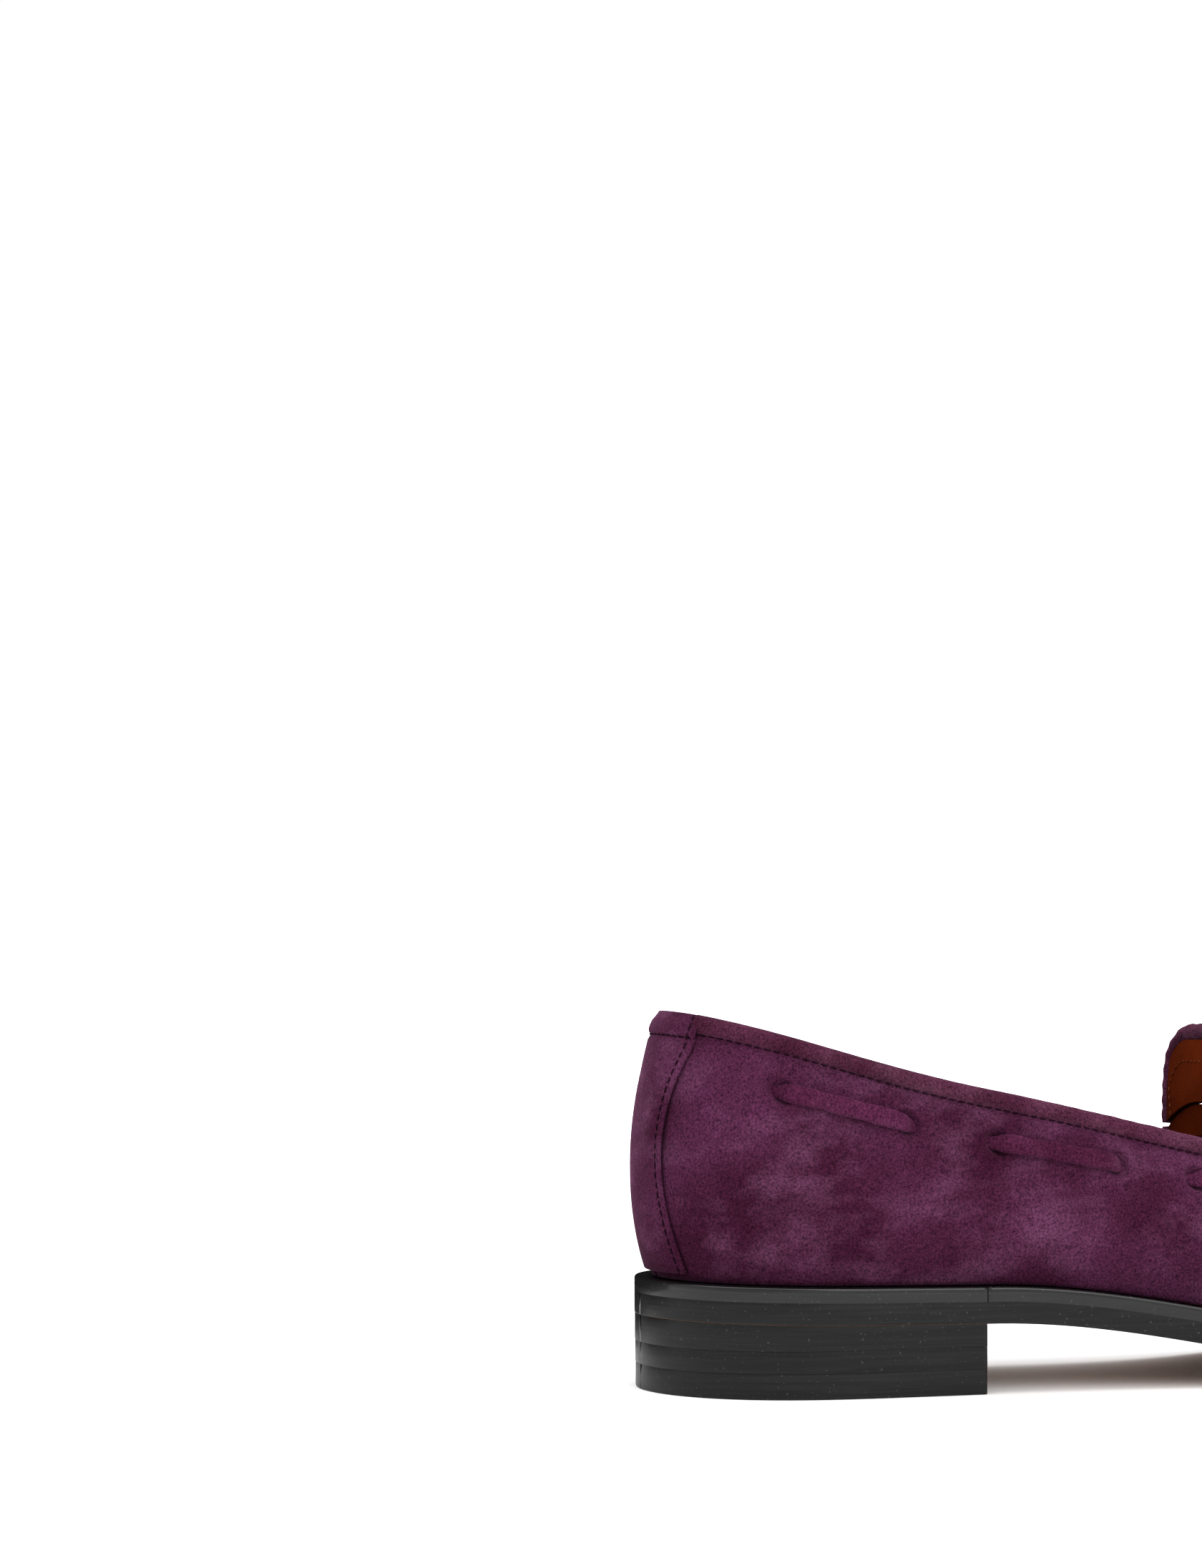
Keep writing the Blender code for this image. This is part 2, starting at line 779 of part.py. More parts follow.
def saddle_strap():
    """The strap over the instep and down both sides, with its eye-shaped slot."""
    grid = []
    rows = np.linspace(STRAP_START, STRAP_START + STRAP_WIDTH, 7)
    for x in rows:
        lateral, medial = station_at(x, -1), station_at(x, 1)
        row = [on_wall(lateral, v) for v in np.linspace(0.07, 0.97, 8)]
        q = lateral
        for w in np.linspace(-0.94, 0.94, 12):
            base = on_wall(lateral, 1.0) + (on_wall(medial, 1.0) - on_wall(lateral, 1.0)) * (w + 1) / 2
            row.append(base + np.array([0, 0, crown(q) * (1 - w * w)]))
        row += [on_wall(medial, v) for v in np.linspace(0.97, 0.07, 8)]
        grid.append(row)
    strap = sheet("saddle_strap", offset_grid(grid, GAP + 0.5 + STRAP), STRAP, PURPLE_SUEDE)
    cut(strap, slot_cutter())
    return strap


def slot_cutter():
    """An upright prism with a pointed eye outline."""
    x = STRAP_START + STRAP_WIDTH / 2
    long, half = SLOT_LENGTH / 2, SLOT_HEIGHT / 2
    turn = np.linspace(-1, 1, 9)
    ring = [(x + half * (1 - t * t), long * t) for t in turn]
    ring += [(x - half * (1 - t * t), long * t) for t in turn[::-1][1:-1]]
    sections = [[(a, b, z) for a, b in ring] for z in (40.0, 100.0)]
    return sweep("slot_cutter", sections, None, collection=CUTTERS)


# ---------------------------------------------------------------- lace and tongue


def lace_path(side):
    """Places (distance forward as x, depth of the lace's middle) along one side, back to front."""
    outside = -(LACE_LIFT + LACE_THICKNESS / 2)
    inside = UPPER + GAP + LACE_THICKNESS / 2
    places = []
    middle = (inside + outside) / 2
    for start, end in LACE_PASSES:
        places += [(start - LACE_TURN, inside), (start, middle), (start + LACE_TURN, outside)]
        run = np.linspace(start + LACE_TURN, end - LACE_TURN, 5)[1:-1]
        places += [(x, outside) for x in run]
        places += [(end - LACE_TURN, outside), (end, middle), (end + LACE_TURN, inside)]
    places.append((LACE_END, inside))
    return [(station_at(x, side), depth) for x, depth in sorted(places, key=lambda p: p[0])]


def lace_sections(clearance):
    """Flat sections of the whole lace, from the outer side's throat round the back to the inner's."""
    inside = UPPER + GAP + LACE_THICKNESS / 2
    lateral = lace_path(-1)[::-1]
    medial = lace_path(1)
    back = [(k, inside) for k in stations(medial[0][0] - STATIONS, lateral[-1][0])][1:-1]
    path = lateral + [(k, d) for k, d in back[::-1]] + [(k - STATIONS, d) for k, d in medial]
    half_width = LACE_WIDTH / 2 + clearance
    half_thick = LACE_THICKNESS / 2 + clearance
    centres = []
    for index, depth in path:
        down = LACE_BELOW_TOPLINE
        centres.append(edge_point(index, down, depth))
    sections = []
    for k, (index, depth) in enumerate(path):
        ahead = centres[min(k + 1, len(path) - 1)] - centres[max(k - 1, 0)]
        up = edge_point(index, LACE_BELOW_TOPLINE - 2, depth)
        up = up - edge_point(index, LACE_BELOW_TOPLINE + 2, depth)
        ahead = ahead / np.linalg.norm(ahead)
        up = up / np.linalg.norm(up)
        out = np.cross(up, ahead)
        out = out / np.linalg.norm(out)
        up = np.cross(ahead, out)
        c = centres[k]
        sections.append(
            [
                c - up * half_width + out * half_thick,
                c - up * half_width - out * half_thick,
                c + up * half_width - out * half_thick,
                c + up * half_width + out * half_thick,
            ]
        )
    return sections


def collar_lace():
    return sweep("collar_lace", lace_sections(0.0), TAN_LEATHER)


def lace_cutter():
    return sweep("lace_slits", lace_sections(0.26), None, collection=CUTTERS)


def tongue_layer(name, front, thickness, margin, material):
    """A layer of the tongue that stands across the throat.  front is its offset forward."""
    rows = []
    for t in np.linspace(0, 1, 7):
        row = []
        for w in np.linspace(-1, 1, 11):
            half = TONGUE_HALF_WIDTH - 2.0 * (1 - t) - margin
            y = TONGUE_MIDDLE_Y + w * half
            arch = TONGUE_CROWN * (1 - (w * half / THROAT_HALF) ** 2)
            drop = TONGUE_CORNER * max(0.0, abs(w) - 0.62) ** 2 / 0.38**2
            low = TONGUE_BASE_Z + arch + margin * 0.5
            high = TONGUE_BASE_Z + TONGUE_CROWN * 0.75 + TONGUE_HEIGHT + 2.0 * (1 - w * w)
            high -= drop + margin
            z = low + (high - low) * t
            u = (z - TONGUE_BASE_Z) / (TONGUE_CROWN + TONGUE_HEIGHT)
            x = TONGUE_X + front + TONGUE_LEAN * u * u
            row.append((x, y, z))
        rows.append(row)
    return sheet(name, rows, thickness, material)


def tongue():
    return tongue_layer("tongue", 0.0, TONGUE, 0.0, PURPLE_SUEDE)


def tongue_lining():
    return tongue_layer("tongue_lining", -(GAP + LINING) * 1.15 - 0.1, LINING, 1.6, TAN_LEATHER)


def on_hinge(name, axis, pieces):
    """Hang the pieces from an empty that stands on their joint's axis."""
    hinge = bpy.data.objects.new(name, None)
    hinge.location = place([axis])[0]
    SHOE.objects.link(hinge)
    for piece in pieces:
        piece.parent = hinge
        piece.location = -hinge.location
    print(name, "at", [round(value, 5) for value in hinge.location])


# ---------------------------------------------------------------- building the shoe


SHANK_END = 0.5 * SHOE_LENGTH
BREAST_STATION = edge_station(HEEL_LENGTH, -1)
HEEL_HALF_WIDTH = -outline(BREAST_STATION, 0, 0)[1]
BINDING_START = (backstay_half(1.0) + SEAM_GAP) / np.linalg.norm(on_wall(1, 1) - on_wall(0, 1))
APRON_START = station_at(THROAT_X + 5.3, -1)
STRAP_START = THROAT_X + 9.0
JOIN_LATERAL = station_at(STRAP_START + STRAP_WIDTH / 2, -1)
JOIN_MEDIAL = station_at(STRAP_START + STRAP_WIDTH / 2, 1)
BINDING_END_LATERAL = station_at(STRAP_START - 1.5, -1)
BINDING_END_MEDIAL = station_at(STRAP_START - 1.5, 1)
THROAT_LATERAL = on_wall(station_at(THROAT_X, -1), 1.0)
THROAT_MEDIAL = on_wall(station_at(THROAT_X, 1), 1.0)
TONGUE_X = THROAT_X + 3.0
TONGUE_MIDDLE_Y = (THROAT_LATERAL[1] + THROAT_MEDIAL[1]) / 2
TONGUE_BASE_Z = (THROAT_LATERAL[2] + THROAT_MEDIAL[2]) / 2 - 0.7
TONGUE_CROWN = 10.5
THROAT_HALF = (THROAT_MEDIAL[1] - THROAT_LATERAL[1]) / 2

outsole()
edge_strip("welt", BREAST_STATION + 0.02, STATIONS - BREAST_STATION - 0.02)
edge_strip("heel_rand", -BREAST_STATION + 0.02, BREAST_STATION - 0.02)
BREAST_CUTTER = breast_cutter()
LIFT_2_BASE = TOP_LIFT + GAP
LIFT_1_BASE = LIFT_2_BASE + HEEL_LIFT + GAP
TOP_LIFT_PIECE = heel_layer("top_lift", lambda p: 0.0, lambda p: TOP_LIFT, 3 * HEEL_TAPER, BLACK_RUBBER)
LOWER_LIFT_PIECE = heel_layer(
    "heel_lift_2", lambda p: LIFT_2_BASE, lambda p: LIFT_2_BASE + HEEL_LIFT, 2 * HEEL_TAPER, BLACK_EDGE
)
heel_layer("heel_lift_1", lambda p: LIFT_1_BASE, lambda p: underside(p[0]) - GAP, HEEL_TAPER, BLACK_EDGE)
heel_nails()
shank()
cork_filler()
insole()
sock_liner()

quarter_lateral = lasted("quarter_lateral", 0.025, JOIN_LATERAL - 0.01, PURPLE_SUEDE)
quarter_medial = lasted("quarter_medial", JOIN_MEDIAL + 0.01, STATIONS - 0.025, PURPLE_SUEDE)
lasted("vamp", JOIN_LATERAL + 0.01, JOIN_MEDIAL - 0.01, PURPLE_SUEDE)
apron()
saddle_strap()
back_strip()
inner_wall("heel_counter", -2.7, 2.7, slice(1, 5), stiffener_depth, STIFFENER, FIBRE)
inner_wall(
    "toe_puff", TOE_STATION - 2.5, TOE_STATION + 2.5, slice(1, 5), stiffener_depth, STIFFENER, FIBRE
)
inner_wall(
    "quarter_lining", JOIN_MEDIAL - STATIONS + 0.02, JOIN_LATERAL - 0.02, slice(1, 8),
    lining_depth, LINING, TAN_LEATHER,
)
inner_wall(
    "vamp_lining", JOIN_LATERAL + 0.02, JOIN_MEDIAL - 0.02, slice(1, 8),
    lining_depth, LINING, TAN_LEATHER,
)
apron_lining()
topline_binding("binding_lateral", BINDING_START, BINDING_END_LATERAL)
topline_binding("binding_medial", BINDING_END_MEDIAL, STATIONS - BINDING_START)
collar_lace()
slits = lace_cutter()
cut(quarter_lateral, slits)
cut(quarter_medial, slits)
TONGUE_AXIS = (TONGUE_X + TONGUE / 2, TONGUE_MIDDLE_Y, TONGUE_BASE_Z + TONGUE_CROWN - 0.5)
on_hinge("tongue_hinge", TONGUE_AXIS, (tongue(), tongue_lining()))
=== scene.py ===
# %% [markdown]
# A suede penny loafer, finished piece by piece.
#
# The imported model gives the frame: every piece in its place, in metres, with the toe along +X, the
# outer side of this right shoe at -Y and the floor at z = 0.  The solids there are coarse, so each
# cell below makes one piece of the shoe again with the detail that leather has: rolled edges,
# slits, seams and stitches.  The shape comes from a rule, a row of stations round the shoe, so the
# fine pieces fit the frame with no adjusting.

# %% Load the frame
import math

import bmesh
import bpy
import numpy as np
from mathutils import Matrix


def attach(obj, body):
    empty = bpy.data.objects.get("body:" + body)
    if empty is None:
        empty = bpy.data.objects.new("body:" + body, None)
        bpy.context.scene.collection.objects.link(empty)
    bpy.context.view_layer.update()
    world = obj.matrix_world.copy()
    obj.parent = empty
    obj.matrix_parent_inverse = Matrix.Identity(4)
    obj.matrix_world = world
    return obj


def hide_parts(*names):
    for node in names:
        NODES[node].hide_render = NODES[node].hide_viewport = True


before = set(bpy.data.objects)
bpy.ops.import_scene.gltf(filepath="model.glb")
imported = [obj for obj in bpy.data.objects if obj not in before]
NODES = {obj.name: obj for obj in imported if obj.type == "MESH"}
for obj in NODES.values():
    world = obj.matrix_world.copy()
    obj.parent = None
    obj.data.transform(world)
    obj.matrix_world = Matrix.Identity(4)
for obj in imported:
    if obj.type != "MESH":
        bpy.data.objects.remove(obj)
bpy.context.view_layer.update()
MM = 0.001

# %% [markdown]
# ## The form
#
# A shoemaker works over a last.  Here the last is a table: stations run from the middle of the
# heel, along the outer side, round the toe and back along the inner side.  Each one holds a point
# of the sole's outline, a point of the upper edge and two handles of the wall curve between them.
# One smooth closed spline runs through the stations.  The wall is worked out once as a dense grid
# of points with their normals, and every leather is then a patch of that grid at its own height
# above it.  Lofting each piece by hand would give seams that don't meet.

# %% The stations: outline x, y, inset, edge x, y, rise, lower handle out, up, upper out, down
LATERAL = (
    (0.0, 0.0, 4.3, 6.8, 0.0, 62.0, 6.3, 16.0, 7.2, 20.0),
    (6.5, -19.0, 4.2, 10.8, -13.5, 61.2, 5.6, 16.0, 6.4, 19.0),
    (22.0, -30.2, 4.0, 24.0, -22.8, 58.0, 5.2, 16.0, 5.8, 17.0),
    (50.0, -33.8, 3.6, 50.0, -27.2, 51.0, 4.6, 15.0, 5.0, 15.0),
    (78.0, -33.4, 3.4, 79.0, -28.2, 44.6, 4.6, 14.0, 5.0, 13.0),
    (108.0, -34.4, 3.6, 110.0, -27.4, 40.8, 5.0, 13.0, 6.0, 12.0),
    (140.0, -39.0, 4.2, 143.0, -25.4, 39.2, 6.0, 13.0, 8.0, 12.0),
    (174.0, -46.2, 5.0, 176.0, -28.6, 38.6, 6.0, 14.0, 11.0, 9.5),
    (208.0, -50.4, 5.4, 209.0, -31.0, 34.6, 5.0, 14.0, 12.0, 6.5),
    (246.0, -46.0, 5.4, 238.0, -27.0, 29.2, 3.6, 12.0, 12.0, 4.0),
    (284.0, -29.0, 5.4, 260.5, -15.5, 25.4, 2.6, 11.0, 12.5, 3.0),
)
TOE = (300.0, 1.5, 5.6, 267.0, 1.5, 23.6, 2.0, 10.0, 14.0, 2.4)
MEDIAL = (
    (285.0, 29.6, 5.4, 261.0, 17.5, 25.2, 2.6, 11.0, 12.5, 3.0),
    (248.0, 48.8, 5.4, 239.0, 28.8, 29.2, 3.6, 12.0, 12.0, 4.0),
    (207.0, 52.6, 5.2, 209.0, 31.6, 34.8, 5.0, 14.0, 12.0, 6.5),
    (172.0, 43.0, 4.4, 176.0, 28.6, 39.0, 6.5, 15.0, 11.0, 9.5),
    (140.0, 30.4, 3.4, 143.0, 25.0, 40.0, 8.0, 16.0, 8.0, 13.0),
    (108.0, 26.4, 3.0, 110.0, 26.8, 41.4, 8.5, 16.0, 6.5, 13.0),
    (78.0, 29.0, 3.2, 79.0, 27.2, 45.0, 6.5, 15.0, 5.6, 14.0),
    (50.0, 32.2, 3.6, 50.0, 26.6, 51.2, 5.0, 15.0, 5.2, 15.0),
    (22.0, 29.6, 4.0, 24.0, 22.4, 58.0, 5.2, 16.0, 5.8, 17.0),
    (6.5, 18.8, 4.2, 10.8, 13.4, 61.2, 5.6, 16.0, 6.4, 19.0),
)
ROWS = np.array([*LATERAL, TOE, *MEDIAL])
STATIONS, TOE_STATION = len(ROWS), len(LATERAL)
SHOE_LENGTH, HEEL_LENGTH, BALL_X, TOE_SPRING = 300.0, 74.0, 204.0, 8.5
HEEL_STACK, HEEL_PITCH = 16.2, 1.2
WELT_BASE, WELT_TOP, FEATHER = 5.3, 8.5, 8.8
OUTSOLE = 5.0
print(f"form: {STATIONS} stations, toe at station {TOE_STATION}")

# %% A smooth closed curve through the stations
steps = np.roll(ROWS[:, :2], -1, axis=0) - ROWS[:, :2]
KNOTS = np.concatenate([[0.0], np.cumsum(np.hypot(steps[:, 0], steps[:, 1]))])


def loop_bend():
    """Second derivatives of the closed spline through the stations."""
    system, load = np.zeros((STATIONS, STATIONS)), np.zeros_like(ROWS)
    for i in range(STATIONS):
        before = KNOTS[i] - KNOTS[i - 1] if i else KNOTS[-1] - KNOTS[-2]
        after, following = KNOTS[i + 1] - KNOTS[i], (i + 1) % STATIONS
        system[i, i - 1] += before / 6
        system[i, i] += (before + after) / 3
        system[i, following] += after / 6
        load[i] = (ROWS[following] - ROWS[i]) / after - (ROWS[i] - ROWS[i - 1]) / before
    return np.linalg.solve(system, load)


BEND = loop_bend()


def station_rows(index):
    """The ten values of the form for an array of station numbers."""
    index = np.atleast_1d(index) % STATIONS
    first = index.astype(int) % STATIONS
    second, b = (first + 1) % STATIONS, (index - index.astype(int))[:, None]
    span, a = (KNOTS[first + 1] - KNOTS[first])[:, None], 1 - b
    curve = (a**3 - a) * BEND[first] + (b**3 - b) * BEND[second]
    return a * ROWS[first] + b * ROWS[second] + curve * span**2 / 6


def underside(x):
    """Height of the outsole's underside at x."""
    waist = np.clip((x - HEEL_LENGTH) / (BALL_X - HEEL_LENGTH), 0, 1)
    height = HEEL_STACK * (1 - waist * waist * (3 - 2 * waist))
    height = height + HEEL_PITCH * np.clip(1 - x / HEEL_LENGTH, 0, None)
    return height + TOE_SPRING * np.clip((x - BALL_X) / (SHOE_LENGTH - BALL_X), 0, None) ** 2


def outward(index):
    """The level direction that leads out of the shoe at each station."""
    step = station_rows(index + 0.02)[:, :2] - station_rows(index - 0.02)[:, :2]
    turned = np.stack([step[:, 1], -step[:, 0]], 1)
    return turned / np.linalg.norm(turned, axis=1)[:, None]


def outline(index, inset, level):
    """Points of the sole's outline, moved in by inset, at a level above the underside."""
    index = np.atleast_1d(np.asarray(index, float))
    plan = station_rows(index)[:, :2] - outward(index) * np.reshape(inset, (-1, 1))
    return np.column_stack([plan, underside(plan[:, 0]) + level])


corners = outline(np.arange(STATIONS * 3) / 3, 0.0, 0.0)
ORIGIN = np.append((corners.min(0) + corners.max(0))[:2] / 2, 0.0)
print("origin of the form, in mm:", ORIGIN.round(2))

# %% The wall as one dense grid, and points on it
FINE, CURVE = 40, 97


def wall_table():
    """Evenly spaced wall points and unit normals for every fine station."""
    index = np.arange(STATIONS * FINE) / FINE
    rows, out = station_rows(index), outward(index)
    start = outline(index, rows[:, 2], FEATHER)
    end = np.column_stack([rows[:, 3:5], underside(rows[:, 3]) + WELT_TOP + rows[:, 5]])
    first, second = start.copy(), end.copy()
    first[:, :2] += out * rows[:, 6:7]
    first[:, 2] += rows[:, 7]
    second[:, :2] += out * rows[:, 8:9]
    second[:, 2] -= rows[:, 9]
    u = np.linspace(0, 1, CURVE)[None, :, None]
    p = [part[:, None, :] for part in (start, first, second, end)]
    curve = (1 - u) ** 3 * p[0] + 3 * u * (1 - u) ** 2 * p[1]
    curve = curve + 3 * u * u * (1 - u) * p[2] + u**3 * p[3]
    run = np.cumsum(np.linalg.norm(np.diff(curve, axis=1), axis=2), axis=1)
    run = np.concatenate([np.zeros((len(run), 1)), run], 1)
    points = np.empty_like(curve)
    for k in range(len(run)):
        even = np.linspace(0, run[k, -1], CURVE)
        for axis in range(3):
            points[k, :, axis] = np.interp(even, run[k], curve[k, :, axis])
    around = np.roll(points, -1, axis=0) - np.roll(points, 1, axis=0)
    normals = np.cross(around, np.gradient(points, axis=1))
    return points, normals / np.linalg.norm(normals, axis=2)[..., None], run[:, -1]


WALL, NORMALS, LENGTHS = wall_table()


def sample(table, index, v):
    """Bilinear reading of a wall table at station numbers and heights."""
    x = (np.asarray(index, float) % STATIONS) * FINE
    y = np.clip(np.asarray(v, float), 0, 1) * (CURVE - 1)
    i, j = np.floor(x).astype(int), np.clip(np.floor(y).astype(int), 0, CURVE - 2)
    a, b = (x - i)[..., None], (y - j)[..., None]
    n = len(table)
    low = table[i % n, j] * (1 - b) + table[i % n, j + 1] * b
    high = table[(i + 1) % n, j] * (1 - b) + table[(i + 1) % n, j + 1] * b
    return low * (1 - a) + high * a


def wall_length(index):
    """Length of the wall from welt to edge."""
    grid = np.arange(STATIONS * FINE + 1) / FINE
    return np.interp(np.asarray(index, float) % STATIONS, grid, np.append(LENGTHS, LENGTHS[0]))


def wall(index, v, lift=0.0):
    """Points at a lift above the wall.  v above 1 runs on past the edge."""
    index, v, lift = np.broadcast_arrays(*(np.asarray(k, float) for k in (index, v, lift)))
    points = sample(WALL, index, v) + sample(NORMALS, index, v) * lift[..., None]
    over = np.clip(v - 1, 0, None) * wall_length(index)
    if over.any():
        step = sample(WALL, index, np.ones_like(v)) - sample(WALL, index, np.full_like(v, 0.96))
        points = points + step / np.linalg.norm(step, axis=-1)[..., None] * over[..., None]
    return points


def down(index, distance):
    """The wall height that lies a distance below the edge."""
    return 1 - np.asarray(distance, float) / wall_length(index)


def station_at(x, side):
    """The station whose upper edge is at x, on the outer (-1) or inner (+1) side."""
    grid = np.linspace(0, TOE_STATION, 1101)
    edge = station_rows(grid if side < 0 else STATIONS - grid)[:, 3]
    found = np.interp(x, edge, grid)
    return found if side < 0 else STATIONS - found


print(f"wall: {WALL.shape[:2]} points, {LENGTHS.min():.0f} to {LENGTHS.max():.0f} mm high")

# %% [markdown]
# ## Meshes from patches
#
# Leather has a thickness and its cut edges are soft.  A patch is a grid of points on the outer
# face.  Its rows and columns crowd together near a border, where the face is bent down by a
# rounding radius, and Solidify then gives the thickness inwards.  A bevel would do the same, but on
# a curved sheet it has to find the border again, and here the border is known.

# %% Patch helpers
BODY = "shoe"


def to_scene(points):
    """Points of the form in mm as metres in the frame."""
    return (np.asarray(points, float) - ORIGIN) * MM


def make_piece(name, points, faces, material, body=BODY):
    """A mesh object at the origin, with its place in its points."""
    mesh = bpy.data.meshes.new(name)
    mesh.from_pydata(to_scene(points).tolist(), [], faces)
    mesh.shade_smooth()
    piece = bpy.data.objects.new(name, mesh)
    bpy.context.scene.collection.objects.link(piece)
    piece["shoe_body"] = body
    if material:
        mesh.materials.append(material)
    return piece


def grid_faces(rows, columns):
    """Quads of a grid of points."""
    i, j = np.meshgrid(np.arange(rows - 1), np.arange(columns - 1), indexing="ij")
    here, there = (i * columns + j).ravel(), ((i + 1) * columns + j).ravel()
    return np.stack([here, there, there + 1, here + 1], 1).tolist()


def crowded(start, end, step, edge=1.2):
    """Distances from start to end, evenly apart, with extra ones close to both ends."""
    run = np.linspace(start, end, max(3, int(round((end - start) / step)) + 1))
    near = edge * np.array([0.08, 0.22, 0.45, 0.75])
    inside = run[(run > start + edge) & (run < end - edge)]
    return np.concatenate([[start], start + near, inside, (end - near)[::-1], [end]])


def rounding(distance, radius):
    """How far a face is bent down at a distance from its border."""
    near = np.clip(1 - distance / radius, 0, 1)
    return radius * (1 - np.sqrt(1 - near**2))


def sheet(name, grid, thickness, material, body=BODY):
    """A leather piece: a grid of points on its outer face, thickened inwards."""
    rows, columns = grid.shape[:2]
    piece = make_piece(name, grid.reshape(-1, 3), grid_faces(rows, columns), material, body)
    thick = piece.modifiers.new("thickness", "SOLIDIFY")
    thick.thickness, thick.offset, thick.use_even_offset = thickness * MM, -1, False
    return piece


def settle(piece):
    """Apply a piece's modifiers, so that its mesh is final."""
    graph = bpy.context.evaluated_depsgraph_get()
    mesh = bpy.data.meshes.new_from_object(piece.evaluated_get(graph))
    piece.modifiers.clear()
    piece.data = mesh
    return piece


def stands_for(piece, *nodes):
    """Apply a piece's modifiers, hide the solids it replaces, and let it move with its body."""
    settle(piece)
    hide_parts(*nodes)
    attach(piece, piece["shoe_body"])
    print(f"{piece.name}: {len(piece.data.polygons)} faces")
    return piece


def sweep(name, rings, material, body=BODY):
    """A solid through rings of equal length, capped at both ends."""
    count, size = rings.shape[:2]
    faces = []
    for a in range(0, (count - 1) * size, size):
        b = a + size
        faces += [(a + j, a + (j + 1) % size, b + (j + 1) % size, b + j) for j in range(size)]
    faces += [tuple(range(size))[::-1], tuple(range((count - 1) * size, count * size))]
    piece = make_piece(name, rings.reshape(-1, 3), faces, material, body)
    shape = bmesh.new()
    shape.from_mesh(piece.data)
    bmesh.ops.recalc_face_normals(shape, faces=shape.faces)
    shape.to_mesh(piece.data)
    shape.free()
    return piece


# %% [markdown]
# ## Finishes
#
# Four surfaces make the look: napped suede, smooth cognac lining, waxed black edges and thread.
# Suede is matt, but its fibres catch light at grazing angles, which is what sheen is for, and the
# dye lies in soft clouds where the nap leans different ways.  Each effect is a node group that
# reads Object coordinates, so it sits still on the piece and needs no unwrapping.

# %% Node helpers
def add_node(tree, kind, settings=None, **inputs):
    """A node with its settings and inputs.  An input is a value or another node's socket."""
    made = tree.nodes.new(kind)
    for key, value in (settings or {}).items():
        setattr(made, key, value)
    for key, value in inputs.items():
        socket = made.inputs[int(key[1:])] if key[0] == "_" else made.inputs[key.replace("_", " ")]
        if isinstance(value, bpy.types.NodeSocket):
            tree.links.new(value, socket)
        else:
            socket.default_value = value
    return made


def group_of(name, inputs, outputs):
    """An empty shader group with named sockets; inputs maps a name to (type, default)."""
    tree = bpy.data.node_groups.new(name, "ShaderNodeTree")
    for label, (kind, default) in inputs.items():
        socket = tree.interface.new_socket(label, in_out="INPUT", socket_type=kind)
        if default is not None:
            socket.default_value = default
    for label, kind in outputs.items():
        tree.interface.new_socket(label, in_out="OUTPUT", socket_type=kind)
    return tree, tree.nodes.new("NodeGroupInput"), tree.nodes.new("NodeGroupOutput")


FLOAT, COLOR, VECTOR = "NodeSocketFloat", "NodeSocketColor", "NodeSocketVector"


def noise(tree, vector, scale, detail=3.0, roughness=0.55):
    made = add_node(tree, "ShaderNodeTexNoise", Vector=vector, Scale=scale)
    made.inputs["Detail"].default_value = detail
    made.inputs["Roughness"].default_value = roughness
    return made.outputs["Fac"]


def spread(tree, value, low, high):
    """A value stretched so that low becomes 0 and high becomes 1."""
    made = add_node(tree, "ShaderNodeMapRange", Value=value)
    made.inputs["From Min"].default_value = low
    made.inputs["From Max"].default_value = high
    return made.outputs["Result"]


def blend_colors(tree, factor, first, second, mode="MIX"):
    made = add_node(tree, "ShaderNodeMix", {"data_type": "RGBA", "blend_type": mode})
    for position, value in ((0, factor), (6, first), (7, second)):
        socket = made.inputs[position]
        if isinstance(value, bpy.types.NodeSocket):
            tree.links.new(value, socket)
        else:
            socket.default_value = value
    return made.outputs[2]


def calculate(tree, operation, first, second):
    made = add_node(tree, "ShaderNodeMath", {"operation": operation}, _0=first, _1=second)
    return made.outputs[0]


# %% Nap: dye clouds, brushed streaks, fibre tips and painted shade low on the shoe
nap, nap_in, nap_out = group_of(
    "suede nap",
    {
        "Vector": (VECTOR, None), "Dye": (COLOR, None), "Deep": (COLOR, None),
        "Brushed": (COLOR, None), "Cloud Size": (FLOAT, 32.0), "Fibre Size": (FLOAT, 1900.0),
    },
    {"Color": COLOR, "Height": FLOAT},
)
place = nap_in.outputs["Vector"]
clouds = spread(nap, noise(nap, place, nap_in.outputs["Cloud Size"], 2.5, 0.5), 0.36, 0.66)
brush = add_node(
    nap, "ShaderNodeMapping", Vector=place, Scale=(1.0, 1.0, 1.7), Location=(0.07, 0.03, 0.11)
)
swipes = spread(nap, noise(nap, brush.outputs[0], 50.0, 3.0, 0.6), 0.47, 0.74)
fibres = noise(nap, place, nap_in.outputs["Fibre Size"], 2.0, 0.7)
lint = noise(nap, place, 620.0, 2.0, 0.6)
base = blend_colors(nap, clouds, nap_in.outputs["Deep"], nap_in.outputs["Dye"])
base = blend_colors(nap, calculate(nap, "MULTIPLY", swipes, 0.62), base, nap_in.outputs["Brushed"])
tips = spread(nap, fibres, 0.3, 0.72)
shade = add_node(nap, "ShaderNodeMapRange", Value=tips)
shade.inputs["To Min"].default_value, shade.inputs["To Max"].default_value = 0.36, 1.64
soft = add_node(nap, "ShaderNodeMapRange", Value=lint)
soft.inputs["To Min"].default_value, soft.inputs["To Max"].default_value = 0.86, 1.14
# Painted shade: the colour darkens towards the floor, to 0.66 at 18 mm up, full at 38 mm
height = add_node(nap, "ShaderNodeSeparateXYZ", Vector=place).outputs["Z"]
painted_low_shade = add_node(nap, "ShaderNodeMapRange", Value=height)
for label, value in (("From Min", 0.018), ("From Max", 0.038), ("To Min", 0.66), ("To Max", 1.0)):
    painted_low_shade.inputs[label].default_value = value
weight = calculate(nap, "MULTIPLY", shade.outputs[0], soft.outputs[0])
weight = calculate(nap, "MULTIPLY", weight, painted_low_shade.outputs[0])
